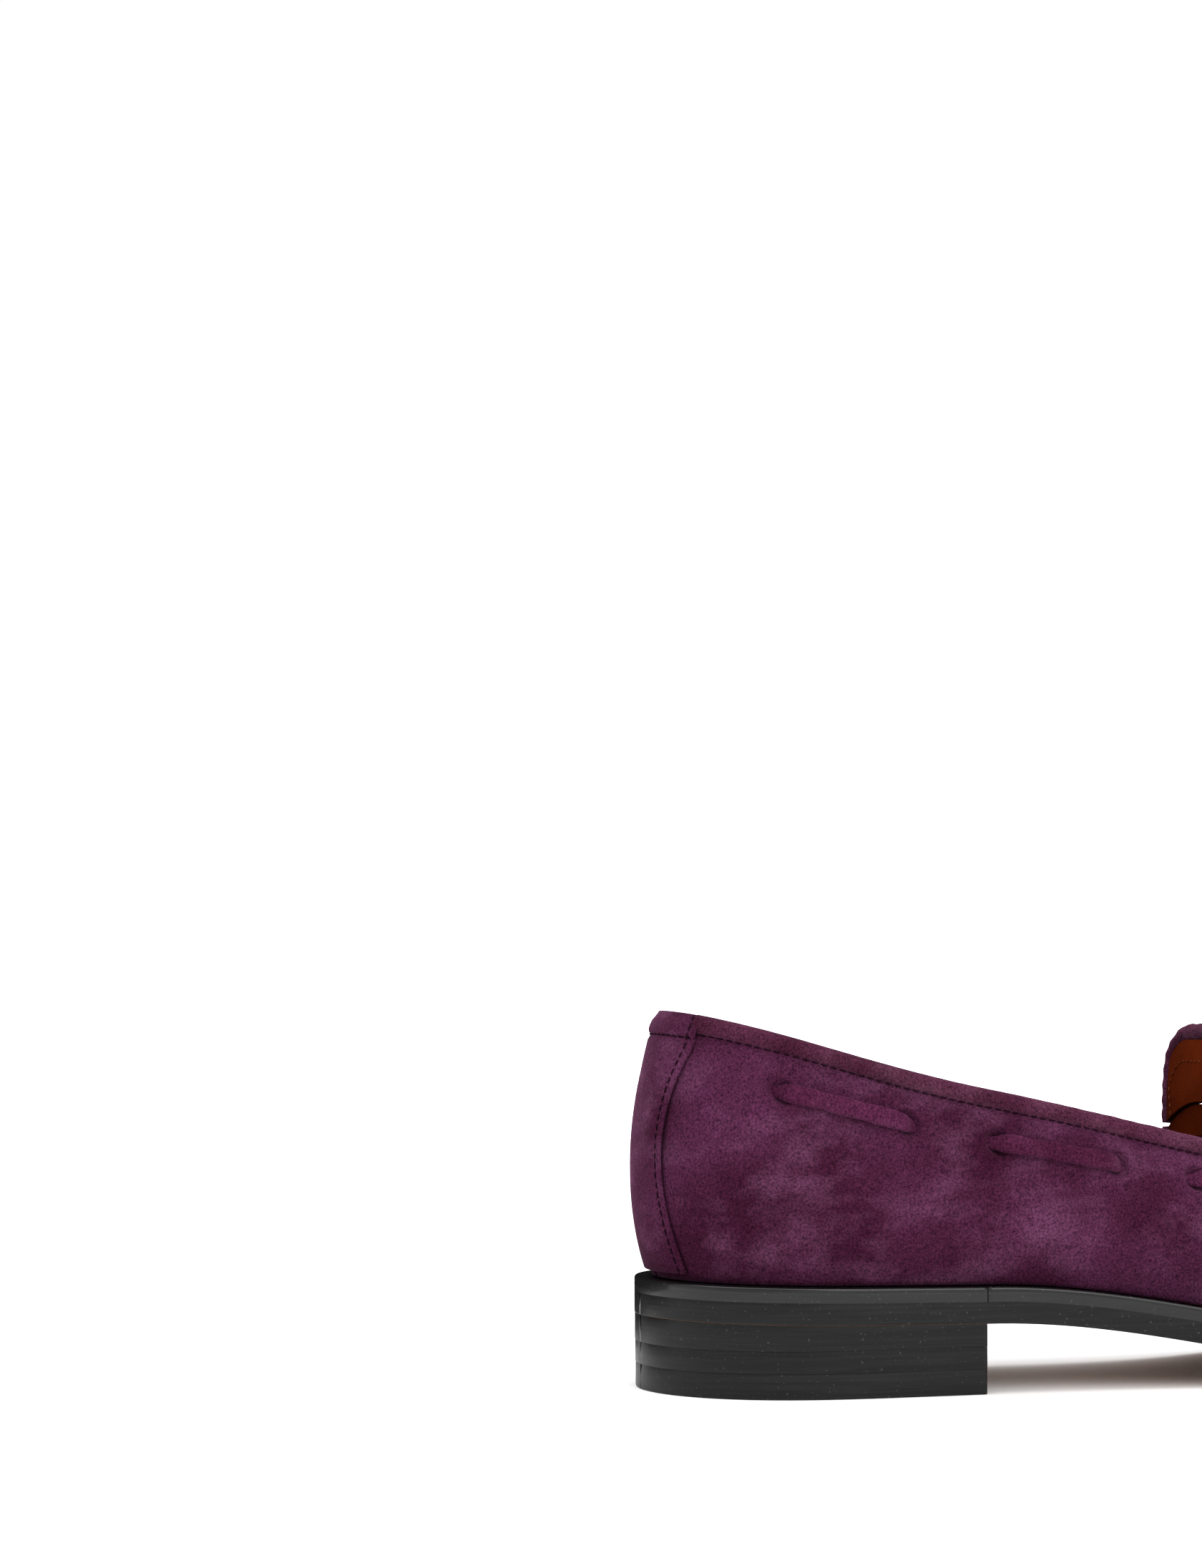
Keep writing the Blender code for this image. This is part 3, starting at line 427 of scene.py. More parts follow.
gray = add_node(nap, "ShaderNodeCombineColor", _0=weight, _1=weight, _2=weight)
nap.links.new(blend_colors(nap, 1.0, base, gray.outputs[0], "MULTIPLY"), nap_out.inputs["Color"])
relief = calculate(nap, "ADD", fibres, calculate(nap, "MULTIPLY", lint, 0.8))
nap.links.new(relief, nap_out.inputs["Height"])
print("suede nap:", len(nap.nodes), "nodes")

# %% Burnish: the drawn lines of a waxed, sanded leather edge
burnish, burnish_in, burnish_out = group_of(
    "waxed edge",
    {
        "Vector": (VECTOR, None), "Stain": (COLOR, None), "Worn": (COLOR, None),
        "Gloss": (FLOAT, 0.3),
    },
    {"Color": COLOR, "Roughness": FLOAT, "Height": FLOAT},
)
place = burnish_in.outputs["Vector"]
drawn = add_node(burnish, "ShaderNodeMapping", Vector=place, Scale=(26.0, 26.0, 900.0))
lines = noise(burnish, drawn.outputs[0], 1.6, 4.0, 0.65)
smears = noise(burnish, place, 38.0, 3.0, 0.6)
dust = spread(burnish, noise(burnish, place, 1500.0, 1.0, 0.5), 0.7, 0.76)
worn = calculate(burnish, "MULTIPLY", spread(burnish, lines, 0.42, 0.78), 0.75)
color = blend_colors(burnish, worn, burnish_in.outputs["Stain"], burnish_in.outputs["Worn"])
dusty = calculate(burnish, "MULTIPLY", dust, 0.16)
color = blend_colors(burnish, dusty, color, (0.2, 0.2, 0.2, 1))
burnish.links.new(color, burnish_out.inputs["Color"])
rough = add_node(burnish, "ShaderNodeMapRange", Value=smears)
rough.inputs["To Min"].default_value, rough.inputs["To Max"].default_value = -0.1, 0.14
rough = calculate(burnish, "ADD", rough.outputs[0], burnish_in.outputs["Gloss"])
rough = calculate(burnish, "ADD", rough, calculate(burnish, "MULTIPLY", lines, 0.12))
burnish.links.new(rough, burnish_out.inputs["Roughness"])
burnish.links.new(lines, burnish_out.inputs["Height"])
print("waxed edge:", len(burnish.nodes), "nodes")

# %% Grain: pores and soft creases of smooth calf leather
grain, grain_in, grain_out = group_of(
    "calf grain",
    {
        "Vector": (VECTOR, None), "Tan": (COLOR, None), "Shade": (COLOR, None),
        "Pore Size": (FLOAT, 1100.0),
    },
    {"Color": COLOR, "Roughness": FLOAT, "Height": FLOAT},
)
place = grain_in.outputs["Vector"]
pores = add_node(grain, "ShaderNodeTexVoronoi", {"feature": "DISTANCE_TO_EDGE"}, Vector=place,
                 Scale=grain_in.outputs["Pore Size"])
pebble = spread(grain, pores.outputs["Distance"], 0.0, 0.22)
patina = noise(grain, place, 55.0, 3.0, 0.55)
tan, dark = grain_in.outputs["Tan"], grain_in.outputs["Shade"]
tone = blend_colors(grain, spread(grain, patina, 0.35, 0.7), tan, dark)
creases = calculate(grain, "MULTIPLY", calculate(grain, "SUBTRACT", 1.0, pebble), 0.3)
tone = blend_colors(grain, creases, tone, dark)
grain.links.new(tone, grain_out.inputs["Color"])
rough = add_node(grain, "ShaderNodeMapRange", Value=patina)
rough.inputs["To Min"].default_value, rough.inputs["To Max"].default_value = 0.36, 0.58
grain.links.new(rough.outputs[0], grain_out.inputs["Roughness"])
grain.links.new(pebble, grain_out.inputs["Height"])
print("calf grain:", len(grain.nodes), "nodes")


# %% Materials from the groups
def material_from(name, group, values, bump, distance, shader_values):
    """A material that feeds a Principled BSDF from one group, with a bump from its height."""
    made = bpy.data.materials.new(name)
    made.use_nodes = True
    tree = made.node_tree
    shader = tree.nodes["Principled BSDF"]
    where = tree.nodes.new("ShaderNodeTexCoord").outputs["Object"]
    effect = add_node(tree, "ShaderNodeGroup", {"node_tree": group}, Vector=where)
    for label, value in values.items():
        effect.inputs[label].default_value = value
    tree.links.new(effect.outputs["Color"], shader.inputs["Base Color"])
    if "Roughness" in effect.outputs:
        tree.links.new(effect.outputs["Roughness"], shader.inputs["Roughness"])
    relief = add_node(tree, "ShaderNodeBump", Height=effect.outputs["Height"], Strength=bump)
    relief.inputs["Distance"].default_value = distance * MM
    tree.links.new(relief.outputs["Normal"], shader.inputs["Normal"])
    for label, value in shader_values.items():
        shader.inputs[label].default_value = value
    return made


def suede_material(name, dye, deep, brushed, cloud_size=32.0):
    return material_from(
        name, nap,
        {"Dye": (*dye, 1), "Deep": (*deep, 1), "Brushed": (*brushed, 1), "Cloud Size": cloud_size},
        0.75, 0.28,
        {
            "Roughness": 0.95, "Specular IOR Level": 0.05, "IOR": 1.15,
            "Sheen Weight": 0.13, "Sheen Roughness": 0.4, "Sheen Tint": (0.62, 0.3, 0.5, 1),
        },
    )


SUEDE = suede_material(
    "plum suede", (0.065, 0.0155, 0.043), (0.031, 0.0056, 0.0165), (0.122, 0.042, 0.09)
)
ROLL = suede_material(
    "plum suede roll", (0.06, 0.0155, 0.034), (0.036, 0.0075, 0.018), (0.1, 0.038, 0.064), 60.0
)
THONG = suede_material(
    "plum suede thong", (0.066, 0.0135, 0.04), (0.042, 0.0075, 0.023), (0.1, 0.03, 0.066), 70.0
)
LINING = material_from(
    "cognac calf lining", grain,
    {"Tan": (0.09, 0.0135, 0.0032, 1), "Shade": (0.05, 0.0072, 0.002, 1)},
    0.35, 0.12,
    {"Specular IOR Level": 0.0, "IOR": 1.1},
)
EDGE = material_from(
    "black waxed edge", burnish,
    {"Stain": (0.0022, 0.0022, 0.0023, 1), "Worn": (0.0115, 0.0115, 0.012, 1), "Gloss": 0.26},
    0.3, 0.06,
    {"Specular IOR Level": 0.2},
)
RIM = material_from(
    "polished rim", burnish,
    {"Stain": (0.0022, 0.0022, 0.0023, 1), "Worn": (0.0105, 0.0105, 0.011, 1), "Gloss": 0.2},
    0.2, 0.05,
    {"Specular IOR Level": 0.26, "Coat Weight": 0.2, "Coat Roughness": 0.08},
)
TREAD = material_from(
    "oak bark sole leather", burnish,
    {"Stain": (0.21, 0.085, 0.036, 1), "Worn": (0.29, 0.14, 0.07, 1), "Gloss": 0.5},
    0.25, 0.05,
    {"Specular IOR Level": 0.4},
)
RUBBER = material_from(
    "black heel rubber", burnish,
    {"Stain": (0.003, 0.003, 0.0031, 1), "Worn": (0.013, 0.013, 0.0135, 1), "Gloss": 0.32},
    0.25, 0.06,
    {"Specular IOR Level": 0.2},
)
THREAD = material_from(
    "plum thread", nap,
    {
        "Dye": (0.016, 0.004, 0.01, 1), "Deep": (0.009, 0.0025, 0.006, 1),
        "Brushed": (0.028, 0.009, 0.019, 1),
    },
    0.4, 0.08, {"Roughness": 0.85, "Specular IOR Level": 0.05, "IOR": 1.15},
)
TAN_THREAD = material_from(
    "tan thread", nap,
    {
        "Dye": (0.13, 0.032, 0.01, 1), "Deep": (0.08, 0.018, 0.006, 1),
        "Brushed": (0.17, 0.05, 0.018, 1),
    },
    0.4, 0.08, {"Roughness": 0.7, "Specular IOR Level": 0.1, "IOR": 1.2},
)
BRASS = material_from(
    "brass nail", burnish,
    {"Stain": (0.55, 0.36, 0.13, 1), "Worn": (0.68, 0.5, 0.24, 1), "Gloss": 0.22},
    0.15, 0.04,
    {"Metallic": 1.0},
)
STEEL = material_from(
    "spring steel", burnish,
    {"Stain": (0.36, 0.37, 0.39, 1), "Worn": (0.5, 0.5, 0.52, 1), "Gloss": 0.28},
    0.2, 0.04,
    {"Metallic": 1.0},
)
CORK = suede_material("ground cork", (0.34, 0.2, 0.1), (0.17, 0.09, 0.04), (0.45, 0.3, 0.17), 400.0)
BOARD = suede_material(
    "fibre board", (0.05, 0.018, 0.008), (0.03, 0.01, 0.005), (0.07, 0.028, 0.013), 120.0
)

CAD_FINISHES = {
    "shank": STEEL, "cork_filler": CORK, "insole": BOARD, "heel_counter": BOARD,
    "toe_puff": BOARD, "sock_liner": LINING,
}
for number in range(1, 6):
    CAD_FINISHES[f"heel_nail_{number}"] = BRASS
for name, finish in CAD_FINISHES.items():
    NODES[name].data.materials.clear()
    NODES[name].data.materials.append(finish)
print("materials:", len(bpy.data.materials))

# %% [markdown]
# ## Stitches
#
# A machine seam is one small thread after another at an even pitch, so it is a job for Geometry
# Nodes: the seam is drawn as a line, the tree steps along it and sets a short thread at each step.
# Modelling one stitch and using an Array would lose the direction on a curved seam.  Hand-sewn
# stitches cross their seam, so there each stitch is its own short edge, and a second tree gives it
# thickness.

# %% Geometry trees for thread
def geometry_tree(name, sizes):
    """An empty tree that takes a geometry, named sizes in metres and a thread material."""
    tree = bpy.data.node_groups.new(name, "GeometryNodeTree")
    tree.interface.new_socket("Geometry", in_out="INPUT", socket_type="NodeSocketGeometry")
    for label, value in sizes.items():
        socket = tree.interface.new_socket(label, in_out="INPUT", socket_type=FLOAT)
        socket.default_value = value
    tree.interface.new_socket("Thread", in_out="INPUT", socket_type="NodeSocketMaterial")
    tree.interface.new_socket("Geometry", in_out="OUTPUT", socket_type="NodeSocketGeometry")
    return tree, tree.nodes.new("NodeGroupInput"), tree.nodes.new("NodeGroupOutput")


def finish_tree(tree, given, result, geometry):
    """End a tree in real geometry with its material, because an export keeps no instances."""
    real = add_node(tree, "GeometryNodeRealizeInstances", Geometry=geometry)
    thread = given.outputs["Thread"]
    colored = add_node(tree, "GeometryNodeSetMaterial", Geometry=real.outputs[0], Material=thread)
    tree.links.new(colored.outputs[0], result.inputs[0])


# %% The running stitch: a short bead of thread at every step along the seam
running, given, result = geometry_tree(
    "running stitch", {"Pitch": 0.0023, "Length": 0.0017, "Thickness": 0.0006}
)
line = add_node(running, "GeometryNodeMeshToCurve", Mesh=given.outputs[0])
marks = add_node(
    running, "GeometryNodeCurveToPoints", {"mode": "LENGTH"},
    Curve=line.outputs[0], Length=given.outputs["Pitch"],
)
bead = add_node(running, "GeometryNodeMeshUVSphere", Segments=6, Rings=5, Radius=0.5)
thickness = given.outputs["Thickness"]
size = add_node(
    running, "ShaderNodeCombineXYZ", X=thickness, Y=thickness, Z=given.outputs["Length"]
)
shaped = add_node(running, "GeometryNodeTransform", Geometry=bead.outputs[0], Scale=size.outputs[0])
placed = add_node(
    running, "GeometryNodeInstanceOnPoints", Points=marks.outputs["Points"],
    Instance=shaped.outputs[0], Rotation=marks.outputs["Rotation"],
)
finish_tree(running, given, result, placed.outputs[0])
print("running stitch:", len(running.nodes), "nodes")

# %% The hand stitch: a round thread along each short line
whipped, given, result = geometry_tree("hand stitch", {"Thickness": 0.0009})
line = add_node(whipped, "GeometryNodeMeshToCurve", Mesh=given.outputs[0])
round_thread = add_node(whipped, "GeometryNodeCurvePrimitiveCircle", Resolution=6)
radius = calculate(whipped, "MULTIPLY", given.outputs["Thickness"], 0.5)
whipped.links.new(radius, round_thread.inputs["Radius"])
tube = add_node(
    whipped, "GeometryNodeCurveToMesh", Curve=line.outputs[0], Profile_Curve=round_thread.outputs[0]
)
tube.inputs["Fill Caps"].default_value = True
finish_tree(whipped, given, result, tube.outputs[0])
print("hand stitch:", len(whipped.nodes), "nodes")


def sew(name, lines, tree, thread, body=BODY, **sizes):
    """Run a thread tree over lines of points, and keep the result as a plain mesh piece."""
    points, edges = [], []
    for path in lines:
        first = len(points)
        points += list(path)
        edges += [(first + k, first + k + 1) for k in range(len(path) - 1)]
    mesh = bpy.data.meshes.new(name)
    mesh.from_pydata(to_scene(points).tolist(), edges, [])
    piece = bpy.data.objects.new(name, mesh)
    bpy.context.scene.collection.objects.link(piece)
    modifier = piece.modifiers.new("thread", "NODES")
    modifier.node_group = tree
    given = [item for item in tree.interface.items_tree if item.in_out == "INPUT"]
    sockets = {item.name: item.identifier for item in given}
    for label, value in sizes.items():
        modifier[sockets[label]] = value * MM
    modifier[sockets["Thread"]] = thread
    settle(piece)
    piece.data.shade_smooth()
    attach(piece, body)
    print(f"{name}: {len(piece.data.polygons)} faces")
    return piece


# %% [markdown]
# ## The bottom
#
# The outsole, the welt and the heel lifts are plates of leather whose edges are trimmed together
# and waxed.  Each plate is a loft: rings run across the shoe, from the outer edge over the tread
# to the inner edge and back over the top, with the two rims rounded.  A flat outline with a bevel
# can't do this, because the plate rises at the waist and again at the toe.

# %% Plates
def spaced_stations(last, count=150):
    """Station numbers from heel to toe, closer together at the round ends."""
    t = np.linspace(0, 1, count)
    return 0.03 + (last - 0.06) * (1 - np.cos(np.pi * t)) / 2


def rim(thickness, lower, upper, steps=4):
    """(inset, level) pairs round a plate's edge, from the bottom face to the top face."""
    turn = np.linspace(0, np.pi / 2, steps + 1)
    low = [(lower * (1 - np.sin(a)), lower * (1 - np.cos(a))) for a in turn]
    high = [(upper * (1 - np.cos(a)), thickness - upper * (1 - np.sin(a))) for a in turn]
    return low + [(0.0, thickness / 2)] + high


HEEL_HALF, BREAST_HOLLOW = 33.0, 2.5
near_heel = np.linspace(0, 6, 601)
BREAST = float(np.interp(HEEL_LENGTH, station_rows(near_heel)[:, 0], near_heel))
CRISP = 0.03


def hollowed(points, k, last):
    """The front of a heel lift, cut back in a shallow curve between its sides."""
    start = np.clip(k - last + 1.0, 0, 1)
    spread_y = (points[:, 1] - points[:, 1].mean()) / HEEL_HALF
    points[:, 0] -= BREAST_HOLLOW * start**2 * np.clip(1 - spread_y**2, 0, 1)
    return points


def plate_ring(k, thickness, profile, inset, reach):
    """One ring across the shoe: points of the outline, and their levels in the plate."""
    outer, inner = (
        [outline(index, inset + step * reach, 0.0)[0] for step, _ in profile]
        for index in (k, STATIONS - k)
    )
    across = np.linspace(0, 1, 18)[1:-1]
    rim_levels = [level for _, level in profile]
    top = [(1 - w) * outer[-1] + w * inner[-1] for w in across]
    low = [(1 - w) * inner[0] + w * outer[0] for w in across]
    levels = rim_levels + [thickness] * len(top) + rim_levels[::-1] + [0.0] * len(low)
    return np.array(outer + top + inner[::-1] + low), np.array(levels)


def plate(name, bottom, thickness, material, inset=0.0, lower=0.4, upper=CRISP, last=None):
    """A layer of the bottom.  bottom is its lower face's height, as a function of x."""
    q = spaced_stations(TOE_STATION) if last is None else np.linspace(0.03, last, 90)
    profile = rim(thickness, lower, upper)
    rings = []
    for k in q:
        reach = min(1.0, k / 0.3, (TOE_STATION - k) / 0.3 if last is None else 1.0)
        points, levels = plate_ring(k, thickness, profile, inset, reach)
        if last is not None:
            points = hollowed(points, k, last)
        points[:, 2] = bottom(points[:, 0]) + levels
        rings.append(points)
    return sweep(name, np.array(rings), material)


outsole = plate("sole_outsole", underside, OUTSOLE, EDGE, lower=0.15)
outsole.data.materials.append(TREAD)
TREAD_LIMIT, FACES_DOWN = 0.0245, -0.8
for face in outsole.data.polygons:
    if face.normal.z < FACES_DOWN and face.center.z < TREAD_LIMIT:
        face.material_index = 1
stands_for(outsole, "outsole")


# %% Welt and heel rand: strips on the rim, with a wheeled edge and a stitch channel
WELT, WELT_WIDTH, PER_STATION = 3.2, 13.0, 26
STRIP_SECTION = rim(WELT, CRISP, 0.55) + [
    (1.6, WELT), (2.1, WELT - 0.18), (2.6, WELT), (5.0, WELT),
    (WELT_WIDTH, WELT), (WELT_WIDTH, 0.0), (5.0, 0.0),
]


def rim_strip(name, start, end, node):
    """A strip along the rim between two stations.  It is a little taller than its solid, so that
    it meets the outsole below with no gap."""
    rings = [
        [outline(k, step, WELT_BASE - 0.28 + level * 1.08)[0] for step, level in STRIP_SECTION]
        for k in np.linspace(start, end, int(abs(end - start) * PER_STATION))
    ]
    return stands_for(sweep(name, np.array(rings), RIM), node)


rim_strip("sole_welt", BREAST + 0.001, STATIONS - BREAST - 0.001, "welt")
rim_strip("sole_heel_rand", 0.002 - BREAST, BREAST - 0.002, "heel_rand")

# %% Heel lifts: leather under leather, and a rubber top piece
LIFTS = (  # piece, solid, height of its lower face, thickness, inset, lower rounding, finish
    ("heel_lift_upper", "heel_lift_1", 11.0, 5.0, 0.12, CRISP, EDGE),
    ("heel_lift_lower", "heel_lift_2", 5.84, 5.13, 0.2, CRISP, EDGE),
    ("heel_top_piece", "top_lift", 0.0, 5.8, 0.3, 0.35, RUBBER),
)


def fit_under_seat(layer, flat_top, gap):
    """Tilt a lift's flat top face to lie just under the outsole's seat."""
    for vertex in layer.data.vertices:
        if vertex.co.z > (flat_top - 3.0) * MM:
            seat = float(underside(vertex.co.x / MM + ORIGIN[0])) - gap
            vertex.co.z += (seat - flat_top) * MM


for name, node, base, thick, inset, lower, finish in LIFTS:
    layer = plate(name, lambda x, b=base: b + 0 * x, thick, finish, inset, lower, last=BREAST)
    if node == "heel_lift_1":
        fit_under_seat(layer, base + thick, 0.04)
    stands_for(layer, node)

# %% [markdown]
# ## The quarters and the vamp
#
# The side leathers wrap the last from the welt to the topline.  The quarter is a patch of the wall
# whose grid is finest where the lace dives through its slits: there the leather is pressed in to a
# dark oval, with a lip that the pull of the lace has raised.  Real holes cut by a Boolean would be
# sharper than suede ever is.

# %% Sizes of the upper
UPPER = 1.5
STRAP_START, STRAP_WIDTH = 152.0, 30.0
LACE_PASSES = ((27.0, 55.0), (78.0, 107.5), (129.0, 141.5))
LACE_WIDTH, LACE_THICKNESS = 4.3, 1.7
MARGIN = 8.0


def lace_drop(x):
    """How far the lace runs below the topline."""
    return np.interp(x, [30.0, 62.0, 113.0, 145.0], [13.2, 12.6, 11.2, 10.4])


SLITS = [x for start, end in LACE_PASSES for x in (start, end)]


def merged(values, least):
    """Sorted values with those closer than the least spacing dropped."""
    kept = []
    for value in np.sort(np.concatenate(values)):
        if not kept or value - kept[-1] > least:
            kept.append(value)
    return np.array(kept)


def slit_dips(x_edge, below):
    """How far the quarter is pressed in: ovals at the ends of each pass, and raised lips."""
    dip = np.zeros_like(x_edge)
    for number, slit in enumerate(SLITS):
        side = -1 if number % 2 == 0 else 1
        along = (x_edge - (slit + side * 0.6)) / 2.6
        across = (below - lace_drop(slit)) / 2.75
        far = np.sqrt(along**2 + across**2)
        dip += 2.3 * np.clip(1.25 - far, 0, 0.8) / 0.8
        dip -= 0.35 * np.exp(-(((far - 1.45) / 0.28) ** 2))
    return dip


def slack(index, v):
    """The soft unevenness of leather that was pulled over a last by hand."""
    wave = 0.22 * np.sin(2.1 * index + 5.0 * v) + 0.16 * np.sin(5.3 * index - 7.0 * v + 1.3)
    return wave * np.clip(v * 4, 0, 1) * np.clip((1 - v) * 5, 0, 1)


def margin_rows(index):
    """The lasting margin, turned in on the welt."""
    insets = station_rows(index)[:, 2]
    steps = (MARGIN, MARGIN * 0.6, 2.0, 0.5)
    return np.stack([outline(index, insets + more, FEATHER + 0.02) for more in steps], 1)


# %% Quarters
def quarter(name, node, side):
    """One quarter, from the back seam to the middle of the saddle."""
    start, end = 0.03, station_at(STRAP_START + STRAP_WIDTH / 2, -1) - 0.02
    index = [np.linspace(start, end, 110)]
    for slit in SLITS:
        centre = station_at(slit, -1)
        index.append(np.linspace(centre - 0.2, centre + 0.2, 22))
    index = merged(index, 0.012)
    if side > 0:
        index = (STATIONS - index)[::-1]
    v_run = merged([np.linspace(0, 1, 46), np.linspace(0.62, 0.86, 44), [0.985]], 0.003)
    grid_index, v = np.meshgrid(index, v_run, indexing="ij")
    x_edge = np.interp(index, *edge_lookup(side))[:, None] * np.ones_like(v)
    below = (1 - v) * wall_length(grid_index)
    lift = slack(grid_index, v) - slit_dips(x_edge, below)
    seam = below - 4.3
    lift -= 0.35 * np.exp(-((seam / 0.7) ** 2)) - 0.12 * np.exp(-(((seam - 1.6) / 0.9) ** 2))
    face = wall(grid_index, v, lift)
    grid = np.concatenate([margin_rows(index), face], axis=1)
    return stands_for(sheet(name, grid, UPPER, SUEDE), node)


def edge_lookup(side):
    """Station numbers of one side in rising order, and the x of the upper edge there."""
    grid = np.linspace(0, TOE_STATION, 1101)
    if side < 0:
        return grid, station_rows(grid)[:, 3]
    return (STATIONS - grid)[::-1], station_rows(STATIONS - grid)[::-1, 3]


quarter("upper_quarter_outer", "quarter_lateral", -1)
quarter("upper_quarter_inner", "quarter_medial", 1)

# %% Vamp: the wall round the toe, its top edge pinched up for the hand-sewn seam
PUCKER = 4.6
JOIN = [station_at(STRAP_START + STRAP_WIDTH / 2, side) for side in (-1, 1)]


def seam_run(index):
    """Distance along the upper edge at station numbers."""
    grid = np.linspace(0, STATIONS, 2201)
    edge = sample(WALL, grid, np.ones_like(grid))
    run = np.concatenate([[0], np.cumsum(np.linalg.norm(np.diff(edge, axis=0), axis=1))])
    return np.interp(index, grid, run)


def ridge(index, distance):
    """Height of the pinched seam at a distance from the upper edge, puckered by its stitches."""
    pinch = 1.15 + 0.22 * np.cos(2 * np.pi * seam_run(index) / PUCKER)
    fold = pinch * np.exp(-((distance / 1.25) ** 2))
    pulled = 0.3 * np.cos(2 * np.pi * seam_run(index) / PUCKER)
    pulled = pulled * np.exp(-((distance - 3.0) / 2.4) ** 2)
    return fold + pulled - 0.35 * np.exp(-(((distance - 3.2) / 1.2) ** 2))


def vamp():
    """The vamp, from the middle of the saddle round the toe."""
    index = np.linspace(JOIN[0] + 0.02, JOIN[1] - 0.02, 520)
    v_run = merged([np.linspace(0, 1, 44), 1 - np.linspace(0, 0.24, 30)], 0.003)
    grid_index, v = np.meshgrid(index, v_run, indexing="ij")
    below = (1 - v) * wall_length(grid_index)
    lift = 0.7 * slack(grid_index, v) + ridge(grid_index, below)
    grid = np.concatenate([margin_rows(index), wall(grid_index, v, lift)], axis=1)
    return stands_for(sheet("upper_vamp", grid, UPPER, SUEDE), "vamp")


vamp()


# %% Apron: the plug inside the seam, crowned over the instep
def crown(q):
    """How far the apron rises above its seam, in the middle."""
    return 10.5 * np.clip((TOE_STATION - q) / 5.0, 0, 1) ** 0.8


def apron_surface(q, w, rise=0.0):
    """Points of the apron: q runs from throat to toe, w from outer seam (-1) to inner (1)."""
    q, w = np.broadcast_arrays(np.asarray(q, float), np.asarray(w, float))
    one = np.ones_like(q)
    outer, inner = sample(WALL, q, one), sample(WALL, STATIONS - q, one)
    points = outer + (inner - outer) * ((w + 1) / 2)[..., None]
    points[..., 2] += crown(q) * (1 - w * w) + rise
    return points


def apron(name, node, drop, thickness, material, inset, start):
    """A layer of the apron, a drop below its face and an inset inside the seam."""
    last = TOE_STATION - 0.22
    q = merged([np.linspace(start, last, 150), last - np.linspace(0, 0.5, 30)], 0.004)
    border = np.array([0, 0.25, 0.6, 1.0, 1.5, 2.2, 3.0])
    grid = []
    for k in q:
        width = np.linalg.norm(apron_surface(k, 1.0) - apron_surface(k, -1.0))
        if width < 2 * inset + 2:
            continue
        reach = 1 - 2 * inset / width
        least = reach * np.linspace(1, 0.7, len(border))
        edge = np.maximum(1 - (border + inset) * 2 / width, least)
        inside = np.linspace(-1, 1, 35)[1:-1] * edge[-1]
        full = np.concatenate([-edge, inside, edge[::-1]])
        full = np.interp(np.linspace(0, 1, 47), np.linspace(0, 1, len(full)), full)
        away = (1 - np.abs(full)) * width / 2
        side_index = np.where(full < 0, k, STATIONS - k)
        away = np.minimum(away, (last - k) * TOE_REACH + 0.2)
        rise = ridge(side_index, away) * 0.9 - drop
        grid.append(apron_surface(np.full_like(full, k), full, rise))
    return stands_for(sheet(name, np.array(grid), thickness, material), node)


THROAT_X = 143.0
TOE_REACH = 26.0  # mm from one station to the next at the toe
apron("upper_apron", "apron", 0.0, UPPER, SUEDE, 0.45, station_at(THROAT_X + 5.3, -1))
apron("lining_apron", "apron_lining", UPPER + 0.3, 1.0, LINING, 4.0, station_at(THROAT_X + 5.9, -1))

# %% Hand stitches across the pinched seam
def seam_stitches():
    """Short lines over the pinched seam, from the vamp to the apron."""
    runs = np.arange(seam_run(JOIN[0] + 0.35), seam_run(JOIN[1] - 0.35), PUCKER)
    grid = np.linspace(JOIN[0], JOIN[1], 3000)
    index = np.interp(runs + PUCKER / 2, seam_run(grid), grid)
    lines = []
    for k in index:
        q, side = (k, -1.0) if k < TOE_STATION else (STATIONS - k, 1.0)
        width = np.linalg.norm(apron_surface(q, 1.0) - apron_surface(q, -1.0))
        outer = wall(k, down(k, 2.6), 0.25)
        over = wall(k, down(k, 0.35), 1.0)
        if width < 26:
            edge = sample(WALL, k, 1.0)
            inward = edge - wall(k, 1.0, 3.0)
            inward = inward * [1, 1, 0] / np.linalg.norm(inward[:2])
            near, far = edge + inward * 0.75 + [0, 0, 1.1], edge + inward * 3.0 + [0, 0, 0.75]
            lines.append([outer, over, near, far])
            continue
        inner = apron_surface(q, side * (1 - 2 * 0.75 / width), 0.95)
        far = apron_surface(q, side * (1 - 2 * 3.0 / width), 0.28)
        lines.append([outer, over, inner, far])
    return lines


sew("thread_apron_seam", seam_stitches(), whipped, THREAD, Thickness=0.85)

# %% [markdown]
# ## Strips, binding and strap
#
# Narrow strips hide the joins: one up the back seam with its top folded over as a pull tab, one
# rolled over the topline, and the saddle over the instep with its slot.  The strips are patches of
# the wall like the quarters.  The binding is a roll, so it is a sweep: one section of the roll is
# carried round the topline.  Their machine seams come from the running stitch tree.

# %% Back strip
STRIP_LIFT, STRIP = 1.45, 1.15
TAB = 5.6


def strip_half(v):
    """Half the strip's width: it narrows in the middle of the back."""
    return 15.0 * (1.0 - 0.28 * np.sin(np.pi * np.clip(v * 1.15, 0, 1) ** 1.3))


def strip_station(offset, v):
    """Station number at a distance round from the back seam."""
    reach = np.linalg.norm(wall(np.full_like(v, 0.8), v) - wall(np.zeros_like(v), v), axis=-1) / 0.8
    return offset / reach


